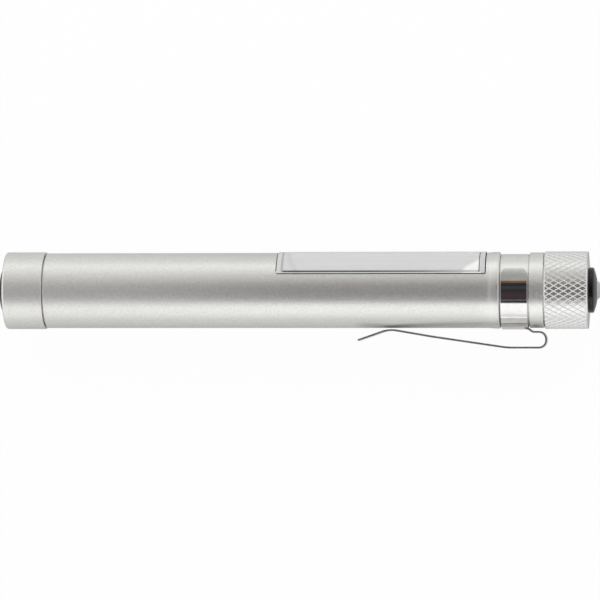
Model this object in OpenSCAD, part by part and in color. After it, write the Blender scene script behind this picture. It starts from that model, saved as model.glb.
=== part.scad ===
// Pocket penlight with a second light in its side.
// A turned aluminium barrel holds two cells in line. The tail cap carries a push switch,
// the knurled bezel holds a round-nosed LED, and a spring clip turns in a groove by the head.
// The barrel lies along X with the light head at +X, the side window faces +Y and the clip -Y.

/* [Cells] */
// Diameter of a cell
cell_d = 10.5; // [8:0.1:14.5]
// Length of a cell with its nub
cell_l = 44.5; // [30:0.5:60]
// Diameter of a cell's positive nub
nub_d = 3.8; // [2:0.1:5]
// Height of a cell's positive nub
nub_h = 1.2; // [0.6:0.1:2]
// Gap round a cell in its liner
cell_gap = 0.25; // [0.15:0.05:0.6]
// Wall of the plastic liner
liner_wall = 1.05; // [0.7:0.05:1.6]
// Gap between the liner and the bore
liner_gap = 0.05; // [0.02:0.01:0.2]
// Space that the battery spring fills
battery_spring_l = 8.35; // [6:0.05:14]

/* [Barrel] */
// Wall of the barrel
barrel_wall = 1.9; // [1.6:0.05:3]
// Length of the side window
window_l = 47.4; // [30:0.1:70]
// Height of the window's edge over the axis
window_drop = 3.8; // [3:0.1:4.6]
// Barrel between the window and the clip groove
window_margin = 3.3; // [2.6:0.1:8]
// Width of the clip groove
groove_w = 6.5; // [4:0.1:10]
// Depth of the clip groove
groove_depth = 0.35; // [0.2:0.05:0.6]
// Length of the collar beyond the groove
collar_l = 3.3; // [2:0.1:6]
// Width of the bead beside the groove
bead_w = 1.1; // [0.6:0.1:2]
// Height of the bead over the barrel
bead_h = 0.14; // [0.05:0.01:0.3]
// Chamfer of the barrel's edges
edge_chamfer = 0.15; // [0.05:0.05:0.4]

/* [Threads] */
// Step from the barrel down to the threaded spigots
spigot_step = 0.8; // [0.7:0.05:1.1]
// Pitch of the threads
thread_pitch = 1; // [0.5:0.05:1.25]
// Depth of the threads
thread_depth = 0.4; // [0.2:0.05:0.5]
// Gap between a spigot and its cap
thread_gap = 0.1; // [0.05:0.05:0.2]
// Space between the head's spigot and the LED holder's flange
spigot_clear = 1.2; // [0.5:0.1:2]
// Diameter of the O-rings' section
o_ring_d = 0.7; // [0.5:0.05:0.8]
// Shoulder between an O-ring and its cap's seat
o_ring_shoulder = 0.3; // [0.2:0.05:0.6]
// Gap round a seated O-ring
o_ring_gap = 0.03; // [0.02:0.01:0.05]

/* [Tail cap and switch] */
// Length of the tail cap
cap_l = 9.1; // [8:0.1:14]
// Height of the tail cap over the barrel
cap_proud = 0.17; // [0.05:0.01:0.5]
// Thickness of the tail cap's end
cap_end_t = 1; // [0.8:0.1:1.6]
// Radius of the tail cap's outer edge
cap_round = 0.9; // [0.3:0.1:1.5]
// Gap between the caps and the barrel's shoulders
parting_gap = 0.08; // [0.05:0.01:0.2]
// Diameter of the push button
button_d = 10.2; // [8:0.1:11]
// Height of the button beyond the tail cap
button_proud = 1.9; // [1.5:0.1:4]
// Radius of the button's domed face
button_dome_r = 18; // [10:0.5:40]
// Gap round the button in its hole
button_gap = 0.15; // [0.1:0.05:0.3]
// Thickness of the button's flange
button_flange_t = 0.7; // [0.5:0.1:1.2]
// Thickness of the button's crown and side wall
button_skin = 1.2; // [0.8:0.1:2]
// Travel of the button
button_travel = 1.2; // [0.8:0.1:1.4]
// Length of the switch housing
housing_l = 9.15; // [8:0.05:14]
// Thickness of the switch housing's flange
housing_flange_t = 0.6; // [0.4:0.05:1]
// Thickness of the switch housing's end wall
housing_end_t = 1.2; // [0.8:0.1:2]
// Diameter of the switch plunger
plunger_d = 3.6; // [2.5:0.1:5]
// Thickness of the plunger's collar
plunger_collar_t = 0.6; // [0.4:0.1:1]
// Gap between the plunger and the switch housing
plunger_gap = 0.1; // [0.05:0.05:0.2]
// Diameter of the space round the return spring
switch_bore_d = 7.2; // [6.6:0.1:8]
// Wire of the return spring
switch_wire_d = 0.35; // [0.2:0.05:0.4]
// Thickness of the retaining ring
ring_t = 0.8; // [0.5:0.1:1.2]
// Thickness of the switch's contact discs
contact_t = 0.4; // [0.2:0.1:0.6]
// Height of the fixed contacts over their board
fixed_contact_h = 0.8; // [0.4:0.1:1.2]
// Diameter of the fixed contacts
fixed_contact_d = 1.6; // [1:0.1:2]
// Thickness of the switch's circuit board
switch_board_t = 0.8; // [0.6:0.1:1.6]
// Wire of the battery spring
battery_wire_d = 0.7; // [0.5:0.05:1]
// Diameter of the battery spring between its wire's middles
battery_coil_d = 6.8; // [5:0.1:9]

/* [Side light] */
// Width of the lens's frame at its ends
lens_frame_end = 1.3; // [0.8:0.1:2.5]
// Width of the lens's frame along its sides
lens_frame_side = 0.6; // [0.3:0.1:1]
// Height of the lens over its frame
lens_raise = 0.15; // [0.05:0.01:0.25]
// Wall of the lens
lens_wall = 1; // [0.8:0.05:1.2]
// Gap round the lens in its window
lens_gap = 0.05; // [0.02:0.01:0.15]
// Gap between the lens and the reflector
reflector_gap = 0.2; // [0.1:0.05:0.3]
// Length of the reflector's sloped ends
reflector_slope = 3.4; // [1.5:0.1:6]
// Width of the reflector's trough at its foot
trough_w = 2.8; // [2.2:0.1:3.4]
// Width of the reflector's trough at its mouth
trough_mouth_w = 4.4; // [3.6:0.1:5]
// Thickness of the side light's circuit board
cob_board_t = 0.7; // [0.5:0.05:0.9]
// Width of the side light's circuit board
cob_board_w = 6.8; // [5:0.1:7]
// Window left free at each end of that board
cob_board_margin = 3; // [2.5:0.1:6]
// Width of the phosphor strip
cob_strip_w = 2.4; // [1.2:0.1:2.6]
// Thickness of the phosphor strip
cob_strip_t = 0.4; // [0.2:0.05:0.5]
// Board left bare at each end of the phosphor strip
cob_strip_margin = 2; // [1:0.1:5]
// Gap between the cells and that board
cob_board_gap = 0.15; // [0.1:0.05:0.2]
// Width of a copper lead
lead_w = 0.8; // [0.5:0.1:1.2]
// Thickness of a copper lead
lead_t = 0.2; // [0.1:0.05:0.3]
// Distance of a copper lead from the middle
lead_off = 1.6; // [1:0.1:2.4]

/* [Light head] */
// Length of the bezel at its rim
bezel_l = 10; // [9:0.1:16]
// Height of the knurl's crests over the barrel
knurl_proud = 0.3; // [0.2:0.05:0.6]
// Length of the bezel's conical face
bezel_cone = 0.4; // [0.2:0.05:1]
// Chamfer of the knurl's ends
knurl_chamfer = 0.3; // [0.1:0.05:0.6]
// Thickness of the bezel's front at its rim
bezel_front_t = 2.3; // [1.5:0.1:4]
// Diameter of the LED holder's nose
holder_d = 10.2; // [8:0.1:11]
// Gap round the LED holder's nose
holder_gap = 0.15; // [0.1:0.05:0.3]
// Straight side of the nose beyond the bezel's rim
holder_proud = 1.3; // [0.8:0.1:4]
// Radius of the nose's domed face
holder_dome_r = 14; // [8:0.5:30]
// Thickness of the LED holder's flange
holder_flange_t = 1.5; // [1:0.1:2.5]
// Gap between moving parts that bear on each other
slip_gap = 0.05; // [0.03:0.01:0.08]
// Diameter of the LED
led_d = 5; // [3:0.1:6]
// Length of the LED from its base to its tip
led_l = 8.7; // [7:0.1:10]
// Height of the LED's tip beyond the straight side of the nose
led_proud = 1.8; // [1.4:0.1:3]
// Width of the LED's foot beyond its side
led_foot = 0.4; // [0.2:0.1:0.6]
// Thickness of the LED's foot
led_foot_t = 1; // [0.6:0.1:1.4]
// Gap round the LED in its holder
led_gap = 0.05; // [0.03:0.01:0.1]
// Thickness of the LED's circuit board
led_board_t = 1; // [0.6:0.1:1.6]
// Thickness of an LED pin
pin_t = 0.5; // [0.4:0.05:0.6]
// Distance between the LED pins
pin_pitch = 2.54; // [2:0.02:3]
// Length of an LED pin behind its board
pin_tail = 0.8; // [0.4:0.1:1.5]
// Gap between an LED pin and its hole
pin_gap = 0.1; // [0.05:0.05:0.15]

/* [Driver] */
// Length of the plug that carries the driver
plug_l = 8.6; // [4:0.1:16]
// Diameter of the positive contact
positive_d = 8; // [5:0.1:10]
// Thickness of the driver's circuit board
driver_t = 1; // [0.6:0.1:1.6]
// Depth of the driver board inside the barrel's head shoulder
driver_recess = 1.75; // [1.2:0.05:4]
// Diameter of the pad for the head spring
pad_d = 5; // [4:0.1:6]
// Thickness of the pad for the head spring
pad_t = 0.2; // [0.1:0.05:0.4]
// Wire of the head spring
head_wire_d = 0.5; // [0.3:0.05:0.7]
// Diameter of the head spring between its wire's middles
head_coil_d = 4; // [3.4:0.1:4.4]
// Side of the driver's control chip
chip_w = 2.4; // [1.5:0.1:3]
// Height of the driver's control chip
chip_h = 0.9; // [0.5:0.1:1.2]

/* [Pocket clip] */
// Thickness of the clip's sheet
clip_t = 0.45; // [0.3:0.05:0.6]
// Width of the clip's arm
clip_w = 5; // [3:0.1:7]
// Gap between the clip's band and the groove's floor
clip_ride = 0.25; // [0.1:0.05:0.4]
// Gap between the clip's band and each side of the groove
clip_side_gap = 0.1; // [0.05:0.05:0.3]
// Angle that the band covers on each side of the arm
clip_wrap = 123.5; // [100:0.5:140]
// Chamfer of the band's corners
clip_corner = 0.8; // [0.3:0.1:1.5]
// Distance of the arm's root from the band's edge
clip_root = 0.25; // [0.24:0.01:1]
// Height of the upper leg over the barrel
clip_leg_h = 1.15; // [0.9:0.05:2]
// Reach of the loop beyond the groove
clip_loop_reach = 3.95; // [3:0.05:6]
// Height of the arm's flat over the barrel
clip_flat_h = 4.53; // [3.8:0.01:6]
// Length of the arm's flat back from the loop
clip_flat_l = 8.8; // [5:0.1:14]
// Distance from the loop to the crest near the tip
clip_crest_l = 36.2; // [20:0.1:50]
// Height of the crest over the barrel
clip_crest_h = 0.42; // [0.42:0.01:2]
// Length of the upturned tip
clip_tip_l = 6.7; // [3:0.1:10]
// Height of the tip's end over the barrel
clip_tip_h = 2.75; // [1.5:0.05:4]
// Radius of the loop
clip_loop_r = 1.6; // [1:0.05:1.6]
// Radius of the bend at the root
clip_root_r = 0.5; // [0.3:0.05:0.8]
// Radius of the bend at the end of the flat
clip_flat_r = 14; // [4:0.5:20]
// Radius of the crest
clip_crest_r = 2.2; // [1:0.1:5]
// Gap between the band's half of the loop and the arm's half
clip_split = 0.05; // [0.03:0.01:0.1]

/* [Hidden] */
$fn = 96;
// Overlap of a cut beyond the solid that it cuts
over = 1;

// Radii, from the cells outwards
cell_r = cell_d / 2;
liner_in_r = cell_r + cell_gap;
liner_r = liner_in_r + liner_wall;
bore_r = liner_r + liner_gap;
barrel_r = bore_r + barrel_wall;
groove_r = barrel_r - groove_depth;
bead_r = barrel_r + bead_h;
spigot_r = barrel_r - spigot_step;
cap_bore_r = spigot_r + thread_gap;
cap_r = barrel_r + cap_proud;
bezel_r = barrel_r + knurl_proud;
button_r = button_d / 2;
holder_r = holder_d / 2;
led_r = led_d / 2;

// Depths behind the tail cap's end plane
button_flange_at = cap_end_t + slip_gap;
housing_at = button_flange_at + button_flange_t + button_travel + 2 * slip_gap;
ring_at = housing_at + housing_flange_t + slip_gap;
tail_spigot_l = cap_l - ring_at - ring_t - 4 * slip_gap;
switch_board_at = housing_at + housing_l;
cells_at = switch_board_at + switch_board_t + battery_spring_l;

// The stack inside the barrel sets how much plain grip is left
stack_l = cells_at + 2 * cell_l + contact_t + plug_l + driver_t;
head_l = window_l + window_margin + groove_w + collar_l - driver_recess;
grip_l = stack_l - head_l - cap_l;

// Places along the barrel, with the middle of the grip at zero
tail_x = -grip_l / 2;
cap_x = tail_x - cap_l;
window_x = grip_l / 2;
window_end_x = window_x + window_l;
groove_x = window_end_x + window_margin;
collar_x = groove_x + groove_w;
head_x = collar_x + collar_l;
cell_rear_x = cap_x + cells_at;
cell_front_x = cell_rear_x + cell_l;
positive_x = cell_front_x + cell_l;
plug_x = positive_x + contact_t;
driver_x = plug_x + plug_l;
pad_x = driver_x + driver_t;
rim_x = head_x + bezel_l;
bezel_seat_x = rim_x - bezel_front_t;
holder_flange_x = bezel_seat_x - slip_gap - holder_flange_t;
head_spigot_l = holder_flange_x - head_x - spigot_clear;
nose_x = rim_x + holder_proud;
led_x = nose_x + led_proud - led_l;
led_board_x = led_x - led_board_t;

// The side light, stacked outwards from the cells
cob_board_y = cell_r + cob_board_gap;
cob_strip_y = cob_board_y + cob_board_t;
lens_in_r = barrel_r - lens_wall;
lens_r = barrel_r + lens_raise;
reflector_r = lens_in_r - reflector_gap;
cob_board_x = window_x + cob_board_margin;
cob_board_l = window_l - 2 * cob_board_margin;

// Switch parts that share the return spring's space
switch_bore_r = switch_bore_d / 2;
housing_r = bore_r - 2 * button_gap;
plunger_collar_r = switch_bore_r - 2 * plunger_gap;
plunger_collar_x = cap_x + housing_at + housing_end_t + slip_gap;
moving_contact_x = cap_x + switch_board_at - fixed_contact_h - button_travel - slip_gap - contact_t;
moving_contact_r = switch_bore_r - 2 * switch_wire_d - 2 * plunger_gap;

// The clip's line in the XY plane, corner by corner with each bend's radius
clip_in_r = groove_r + clip_ride;
clip_out_r = clip_in_r + clip_t;
clip_band_x = groove_x + clip_side_gap;
clip_band_w = groove_w - 2 * clip_side_gap;
clip_root_x = clip_band_x + clip_band_w - clip_root;
clip_loop_x = collar_x + clip_loop_reach;
clip_leg_y = -barrel_r - clip_leg_h;
clip_flat_y = -barrel_r - clip_flat_h;
clip_pivot_y = (clip_leg_y + clip_flat_y) / 2;
clip_leg_line = [
    [clip_root_x, -sqrt(pow(clip_in_r, 2) - pow(clip_w / 2, 2)), 0],
    [clip_root_x, clip_leg_y, clip_root_r],
    [clip_loop_x, clip_leg_y, clip_loop_r],
    [clip_loop_x, clip_pivot_y + clip_split / 2, 0]
];
clip_arm_line = [
    [clip_loop_x, clip_pivot_y - clip_split / 2, 0],
    [clip_loop_x, clip_flat_y, clip_loop_r],
    [clip_loop_x - clip_flat_l, clip_flat_y, clip_flat_r],
    [clip_loop_x - clip_crest_l, -barrel_r - clip_crest_h, clip_crest_r],
    [clip_loop_x - clip_crest_l - clip_tip_l, -barrel_r - clip_tip_h, 0]
];

// A solid of revolution about X, from points of [radius, x]
module turned(points) {
    rotate([0, 90, 0])
        rotate_extrude()
            polygon(points);
}

// A round bar along X
module bar(r, from_x, to_x) {
    translate([from_x, 0, 0])
        rotate([0, 90, 0])
            cylinder(r = r, h = to_x - from_x);
}

// A tube along X
module tube(out_r, in_r, from_x, to_x) {
    difference() {
        bar(out_r, from_x, to_x);
        bar(in_r, from_x - over, to_x + over);
    }
}

// The section of a ring round X, as [radius, x]
module ring_area(in_r, out_r, from_x, to_x) {
    translate([in_r, from_x])
        square([out_r - in_r, to_x - from_x]);
}

// A block from one corner to the opposite one
module block(low, high) {
    translate(low)
        cube(high - low);
}

// Everything above a height, over a stretch of X
module above(y, from_x, to_x) {
    reach = 2 * barrel_r;
    block([from_x, y, -reach], [to_x, y + reach, reach]);
}

// An O-ring round X
module o_ring(mid_x) {
    ring_r = spigot_r + thread_gap - o_ring_gap - o_ring_d / 2;
    translate([mid_x, 0, 0])
        rotate([0, 90, 0])
            rotate_extrude()
                translate([ring_r, 0])
                    circle(d = o_ring_d, $fn = 32);
}

// Outline of a threaded spigot that leaves its shoulder towards +X, as [radius, distance]
function spigot_outline(length) =
    let (
        seat_r = cap_bore_r - o_ring_d - 2 * o_ring_gap,
        seat_end = o_ring_shoulder + o_ring_d + 2 * o_ring_gap,
        thread_from = seat_end + o_ring_shoulder,
        turns = floor((length - thread_from) / thread_pitch)
    )
    concat(
        [
            [spigot_r, 0],
            [spigot_r, o_ring_shoulder],
            [seat_r, o_ring_shoulder],
            [seat_r, seat_end],
            [spigot_r, seat_end]
        ],
        [
            for (i = [0 : turns - 1], step = [[0, 0.1], [thread_depth, 0.5], [0, 0.9]])
                [spigot_r - step[0], thread_from + (i + step[1]) * thread_pitch]
        ],
        [
            [spigot_r, length - edge_chamfer],
            [spigot_r - edge_chamfer, length]
        ]
    );

// The middle of an O-ring's seat, from its spigot's shoulder
o_ring_at = o_ring_shoulder + o_ring_gap + o_ring_d / 2;

function unit(v) = v / norm(v);
function spun(v, angle) = [v.x * cos(angle) - v.y * sin(angle), v.x * sin(angle) + v.y * cos(angle)];
function flat(corner) = [corner.x, corner.y];

// The rounded corner b of a line that comes from a and goes on to c
function bend(a, b, c, r) =
    let (
        back = unit(a - b),
        ahead = unit(c - b),
        half = acos(back * ahead) / 2,
        middle = b + unit(back + ahead) * r / sin(half),
        start = b + back * r / tan(half) - middle,
        turn = sign(cross(b - a, c - b)) * (180 - 2 * half),
        steps = max(3, ceil(abs(turn) / 10))
    )
    [for (i = [0 : steps]) middle + spun(start, turn * i / steps)];

// A line through corners of [x, y, radius]
function bent_line(corners) =
    let (last = len(corners) - 1)
    concat(
        [flat(corners[0])],
        [
            for (i = [1 : last - 1])
                each bend(flat(corners[i - 1]), flat(corners[i]), flat(corners[i + 1]), corners[i][2])
        ],
        [flat(corners[last])]
    );

// The outline of a strip of even thickness along a line
function strip_outline(line, thickness) =
    let (
        last = len(line) - 1,
        side = [
            for (i = [0 : last])
                let (along = unit(line[min(i + 1, last)] - line[max(i - 1, 0)]))
                [-along.y, along.x] * thickness / 2
        ]
    )
    concat(
        [for (i = [0 : last]) line[i] + side[i]],
        [for (i = [last : -1 : 0]) line[i] - side[i]]
    );

// A bent strip of sheet, as wide as the clip's arm
module strip(corners) {
    translate([0, 0, -clip_w / 2])
        linear_extrude(clip_w)
            polygon(strip_outline(bent_line(corners), clip_t));
}

// A coil spring along X between two faces
module coil(from_x, to_x, coil_d, wire_d, turns) {
    sides = 6;
    rings = turns * 12;
    wire_r = wire_d / 2;
    low_x = from_x + wire_r + slip_gap;
    rise = to_x - from_x - wire_d - 2 * slip_gap;
    points = [
        for (i = [0 : rings], j = [0 : sides - 1])
            let (
                r = coil_d / 2 + wire_r * cos(360 * j / sides),
                around = 360 * turns * i / rings
            )
            [low_x + rise * i / rings + wire_r * sin(360 * j / sides), r * cos(around), r * sin(around)]
    ];
    walls = [
        for (i = [0 : rings - 1], j = [0 : sides - 1])
            let (
                a = i * sides + j,
                b = i * sides + (j + 1) % sides
            )
            each [[a, b, a + sides], [b, b + sides, a + sides]]
    ];
    start_cap = [[for (j = [sides - 1 : -1 : 0]) j]];
    end_cap = [[for (j = [0 : sides - 1]) rings * sides + j]];
    polyhedron(points, concat(walls, start_cap, end_cap));
}

module barrel() {
    tail_spigot = spigot_outline(tail_spigot_l);
    head_spigot = spigot_outline(head_spigot_l);
    tail_last = len(tail_spigot) - 1;
    bead_x = groove_x - edge_chamfer - bead_h - groove_depth;
    outline = concat(
        [for (i = [tail_last : -1 : 0]) [tail_spigot[i][0], tail_x - tail_spigot[i][1]]],
        [
            [barrel_r - edge_chamfer, tail_x],
            [barrel_r, tail_x + edge_chamfer],
            [barrel_r, bead_x - bead_w],
            [bead_r, bead_x - bead_w / 2],
            [bead_r, bead_x],
            [groove_r, groove_x - edge_chamfer],
            [groove_r, collar_x],
            [barrel_r - edge_chamfer, collar_x],
            [barrel_r, collar_x + edge_chamfer],
            [barrel_r, head_x - edge_chamfer],
            [barrel_r - edge_chamfer, head_x]
        ],
        [for (point = head_spigot) [point[0], head_x + point[1]]],
        [
            [bore_r, head_x + head_spigot_l],
            [bore_r, tail_x - tail_spigot_l]
        ]
    );
    color([0.80, 0.79, 0.77])
        difference() {
            turned(outline);
            above(window_drop, window_x, window_end_x);
        }
}

module side_lens() {
    from_x = window_x + lens_gap;
    to_x = window_end_x - lens_gap;
    foot_y = window_drop + lens_gap;
    // The arc length of the frame becomes a height at the window's edge
    pad_angle = acos(window_drop / barrel_r) - lens_frame_side / barrel_r * 180 / PI;
    color([0.88, 0.90, 0.90, 0.6]) {
        intersection() {
            turned([
                [liner_r + liner_gap, from_x],
                [barrel_r, from_x],
                [barrel_r, to_x],
                [liner_r + liner_gap, to_x],
                [liner_r + liner_gap, to_x - lens_frame_end],
                [lens_in_r, to_x - lens_frame_end],
                [lens_in_r, from_x + lens_frame_end],
                [liner_r + liner_gap, from_x + lens_frame_end]
            ]);
            above(foot_y, from_x, to_x);
        }
        intersection() {
            tube(lens_r, (barrel_r + lens_in_r) / 2, from_x + lens_frame_end, to_x - lens_frame_end);
            above(barrel_r * cos(pad_angle), from_x, to_x);
        }
    }
}

module cob_reflector() {
    from_x = window_x + lens_gap + lens_frame_end + reflector_gap;
    to_x = window_end_x - lens_gap - lens_frame_end - reflector_gap;
    inner_r = liner_r + liner_gap;
    foot_y = window_drop + lens_gap + reflector_gap;
    trough_from = cob_board_x + cob_strip_margin / 2;
    trough_to = cob_board_x + cob_board_l - cob_strip_margin / 2;
    half_foot = trough_w / 2;
    half_mouth = trough_mouth_w / 2;
    color([0.90, 0.90, 0.88])
        difference() {
            intersection() {
                turned([
                    [inner_r, from_x],
                    [inner_r + reflector_gap, from_x],
                    [reflector_r, from_x + reflector_slope],
                    [reflector_r, to_x - reflector_slope],
                    [inner_r + reflector_gap, to_x],
                    [inner_r, to_x]
                ]);
                above(foot_y, from_x, to_x);
            }
            block(
                [cob_board_x - lens_gap, 0, -cob_board_w / 2 - lens_gap],
                [cob_board_x + cob_board_l + over, cob_strip_y + lens_gap, cob_board_w / 2 + lens_gap]
            );
            for (side = [-1, 1])
                block(
                    [cob_board_x, 0, side * lead_off - lead_w / 2 - lens_gap],
                    [to_x + over, cob_board_y + lead_t + 2 * lens_gap, side * lead_off + lead_w / 2 + lens_gap]
                );
            translate([trough_from, 0, 0])
                rotate([0, 90, 0])
                    linear_extrude(trough_to - trough_from)
                        polygon([
                            [-half_foot, cob_strip_y],
                            [half_foot, cob_strip_y],
                            [half_mouth, reflector_r],
                            [half_mouth, reflector_r + over],
                            [-half_mouth, reflector_r + over],
                            [-half_mouth, reflector_r]
                        ]);
        }
}

module cob_board() {
    color([0.93, 0.93, 0.92])
        block(
            [cob_board_x, cob_board_y, -cob_board_w / 2],
            [cob_board_x + cob_board_l, cob_strip_y, cob_board_w / 2]
        );
}

module cob_strip() {
    color([0.95, 0.82, 0.25])
        block(
            [cob_board_x + cob_strip_margin, cob_strip_y, -cob_strip_w / 2],
            [cob_board_x + cob_board_l - cob_strip_margin, cob_strip_y + cob_strip_t, cob_strip_w / 2]
        );
}

module cob_leads() {
    color([0.80, 0.50, 0.30])
        for (side = [-1, 1])
            block(
                [cob_board_x + cob_board_l, cob_board_y + lens_gap, side * lead_off - lead_w / 2],
                [driver_x, cob_board_y + lens_gap + lead_t, side * lead_off + lead_w / 2]
            );
}

module battery_liner() {
    from_x = cell_rear_x + cell_gap;
    to_x = positive_x - slip_gap;
    color([0.25, 0.25, 0.27])
        difference() {
            tube(liner_r, liner_in_r, from_x, to_x);
            above(cob_board_y, window_x, to_x + over);
        }
}

// A cell with its nub towards +X
module cell(at_x) {
    rim = nub_h / 3;
    can_end = at_x + cell_l - nub_h;
    turned([
        [0, at_x],
        [cell_r - rim, at_x],
        [cell_r, at_x + rim],
        [cell_r, can_end - rim],
        [cell_r - rim, can_end],
        [nub_d / 2, can_end],
        [nub_d / 2, at_x + cell_l],
        [0, at_x + cell_l]
    ]);
}

module cell_rear() {
    color([0.20, 0.30, 0.45])
        cell(cell_rear_x);
}

module cell_front() {
    color([0.20, 0.30, 0.45])
        cell(cell_front_x);
}

module positive_contact() {
    color([0.83, 0.66, 0.33])
        bar(positive_d / 2, positive_x, plug_x);
}

module contact_plug() {
    color([0.92, 0.92, 0.90])
        difference() {
            bar(liner_r, plug_x, driver_x);
            above(cob_board_y, plug_x - over, driver_x + over);
        }
}

module driver_board() {
    color([0.10, 0.40, 0.22])
        bar(liner_r - liner_gap, driver_x, pad_x);
}

module driver_chips() {
    chip_off = (pad_d / 2 + liner_r - liner_gap) / 2;
    half = chip_w / 2;
    color([0.12, 0.12, 0.13]) {
        block([pad_x, chip_off - half, -half], [pad_x + chip_h, chip_off + half, half]);
        // Two smaller ones, half as wide
        for (side = [-1, 1])
            translate([0, -chip_off, side * half])
                block([pad_x, -half / 2, -half / 2], [pad_x + chip_h, half / 2, half / 2]);
    }
}

module spring_pad() {
    color([0.83, 0.66, 0.33])
        bar(pad_d / 2, pad_x, pad_x + pad_t);
}

module head_spring() {
    color([0.78, 0.78, 0.80])
        coil(pad_x + pad_t, led_board_x, head_coil_d, head_wire_d, 4);
}

module head_o_ring() {
    color([0.10, 0.10, 0.10])
        o_ring(head_x + o_ring_at);
}

module tail_o_ring() {
    color([0.10, 0.10, 0.10])
        o_ring(tail_x - o_ring_at);
}

module tail_cap() {
    front_x = tail_x - parting_gap;
    color([0.80, 0.79, 0.77])
        difference() {
            union() {
                turned([
                    [0, cap_x],
                    [cap_r - cap_round, cap_x],
                    [cap_r - cap_round, cap_x + cap_round],
                    [cap_r, cap_x + cap_round],
                    [cap_r, front_x - edge_chamfer],
                    [cap_r - edge_chamfer, front_x],
                    [0, front_x]
                ]);
                translate([cap_x + cap_round, 0, 0])
                    rotate([0, 90, 0])
                        rotate_extrude()
                            translate([cap_r - cap_round, 0])
                                circle(r = cap_round, $fn = 48);
            }
            bar(button_r + button_gap, cap_x - over, cap_x + cap_l);
            bar(cap_bore_r, cap_x + cap_end_t, cap_x + cap_l);
        }
}

module retaining_ring() {
    color([0.83, 0.66, 0.33])
        tube(cap_bore_r - slip_gap, housing_r + plunger_gap, cap_x + ring_at, cap_x + ring_at + ring_t);
}

module push_button() {
    apex_x = cap_x - button_proud;
    flange_x = cap_x + button_flange_at;
    back_x = flange_x + button_flange_t;
    flange_r = button_r + 2 * button_skin;
    color([0.06, 0.06, 0.06])
        difference() {
            union() {
                intersection() {
                    bar(button_r, apex_x - over, back_x);
                    translate([apex_x + button_dome_r, 0, 0])
                        sphere(r = button_dome_r);
                }
                bar(min(flange_r, cap_bore_r - 2 * button_gap), flange_x, back_x);
            }
            tube(button_r - button_skin, plunger_d / 2, cap_x - button_proud + 2 * button_skin, back_x + over);
        }
}

module switch_plunger() {
    back_x = cap_x + button_flange_at + button_flange_t;
    color([0.85, 0.85, 0.83]) {
        bar(plunger_d / 2, back_x, moving_contact_x);
        bar(plunger_collar_r, plunger_collar_x, plunger_collar_x + plunger_collar_t);
    }
}

module moving_contact() {
    color([0.83, 0.66, 0.33])
        bar(moving_contact_r, moving_contact_x, moving_contact_x + contact_t);
}

module switch_housing() {
    from_x = cap_x + housing_at;
    to_x = from_x + housing_l;
    flange_r = cap_bore_r - 3 * button_gap;
    color([0.14, 0.14, 0.15])
        difference() {
            union() {
                bar(flange_r, from_x, from_x + housing_flange_t);
                bar(housing_r, from_x, to_x);
            }
            bar(plunger_d / 2 + plunger_gap, from_x - over, to_x);
            bar(switch_bore_r, from_x + housing_end_t, to_x + over);
        }
}

module switch_board() {
    from_x = cap_x + switch_board_at;
    color([0.10, 0.40, 0.22])
        bar(housing_r - plunger_gap, from_x, from_x + switch_board_t);
}

module fixed_contacts() {
    board_x = cap_x + switch_board_at;
    contact_off = moving_contact_r - fixed_contact_d / 2;
    color([0.83, 0.66, 0.33])
        for (side = [-1, 1])
            translate([0, 0, side * contact_off])
                bar(fixed_contact_d / 2, board_x - fixed_contact_h, board_x);
}

module switch_spring() {
    coil_d = switch_bore_d - 2 * plunger_gap - switch_wire_d;
    color([0.78, 0.78, 0.80])
        coil(
            plunger_collar_x + plunger_collar_t, cap_x + switch_board_at, coil_d, switch_wire_d, 5
        );
}

module battery_spring() {
    board_front_x = cap_x + switch_board_at + switch_board_t;
    color([0.78, 0.78, 0.80])
        coil(board_front_x, cell_rear_x, battery_coil_d, battery_wire_d, 5);
}

module bezel() {
    from_x = head_x + parting_gap;
    hole_r = holder_r + holder_gap;
    color([0.78, 0.78, 0.77])
        difference() {
            turned([
                [0, from_x],
                [bezel_r - knurl_chamfer, from_x],
                [bezel_r, from_x + knurl_chamfer],
                [bezel_r, rim_x - knurl_chamfer],
                [bezel_r - knurl_chamfer, rim_x],
                [hole_r, rim_x + bezel_cone],
                [0, rim_x + bezel_cone]
            ]);
            bar(hole_r, head_x, rim_x + bezel_cone + over);
            bar(cap_bore_r, head_x, bezel_seat_x);
        }
}

module led_holder() {
    bore = led_r + led_gap;
    skirt_r = bore_r - 2 * button_gap;
    flange_r = cap_bore_r - 4 * holder_gap;
    flange_end_x = holder_flange_x + holder_flange_t;
    // The sphere of the dome passes through the end of the nose's straight side
    dome_x = nose_x - sqrt(pow(holder_dome_r, 2) - pow(holder_r, 2));
    color([0.06, 0.06, 0.06])
        rotate([0, 90, 0])
            rotate_extrude()
                difference() {
                    union() {
                        ring_area(bore, skirt_r, led_x, flange_end_x);
                        ring_area(bore, flange_r, holder_flange_x, flange_end_x);
                        intersection() {
                            ring_area(bore, holder_r, holder_flange_x, nose_x + holder_d);
                            translate([0, dome_x])
                                circle(r = holder_dome_r);
                        }
                    }
                    ring_area(0, bore + led_foot, led_x - over, led_x + led_foot_t + led_gap);
                }
}

module led() {
    nose_mid_x = led_x + led_l - led_r;
    color([0.92, 0.94, 0.96, 0.5]) {
        bar(led_r + led_foot, led_x, led_x + led_foot_t);
        bar(led_r, led_x, nose_mid_x);
        translate([nose_mid_x, 0, 0])
            sphere(r = led_r);
    }
}

module led_board() {
    color([0.10, 0.40, 0.22])
        difference() {
            bar(bore_r - 2 * holder_gap, led_board_x, led_x);
            for (side = [-1, 1])
                translate([0, 0, side * pin_pitch / 2])
                    bar(pin_t * sqrt(0.5) + pin_gap, led_board_x - over, led_x + over);
        }
}

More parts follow.
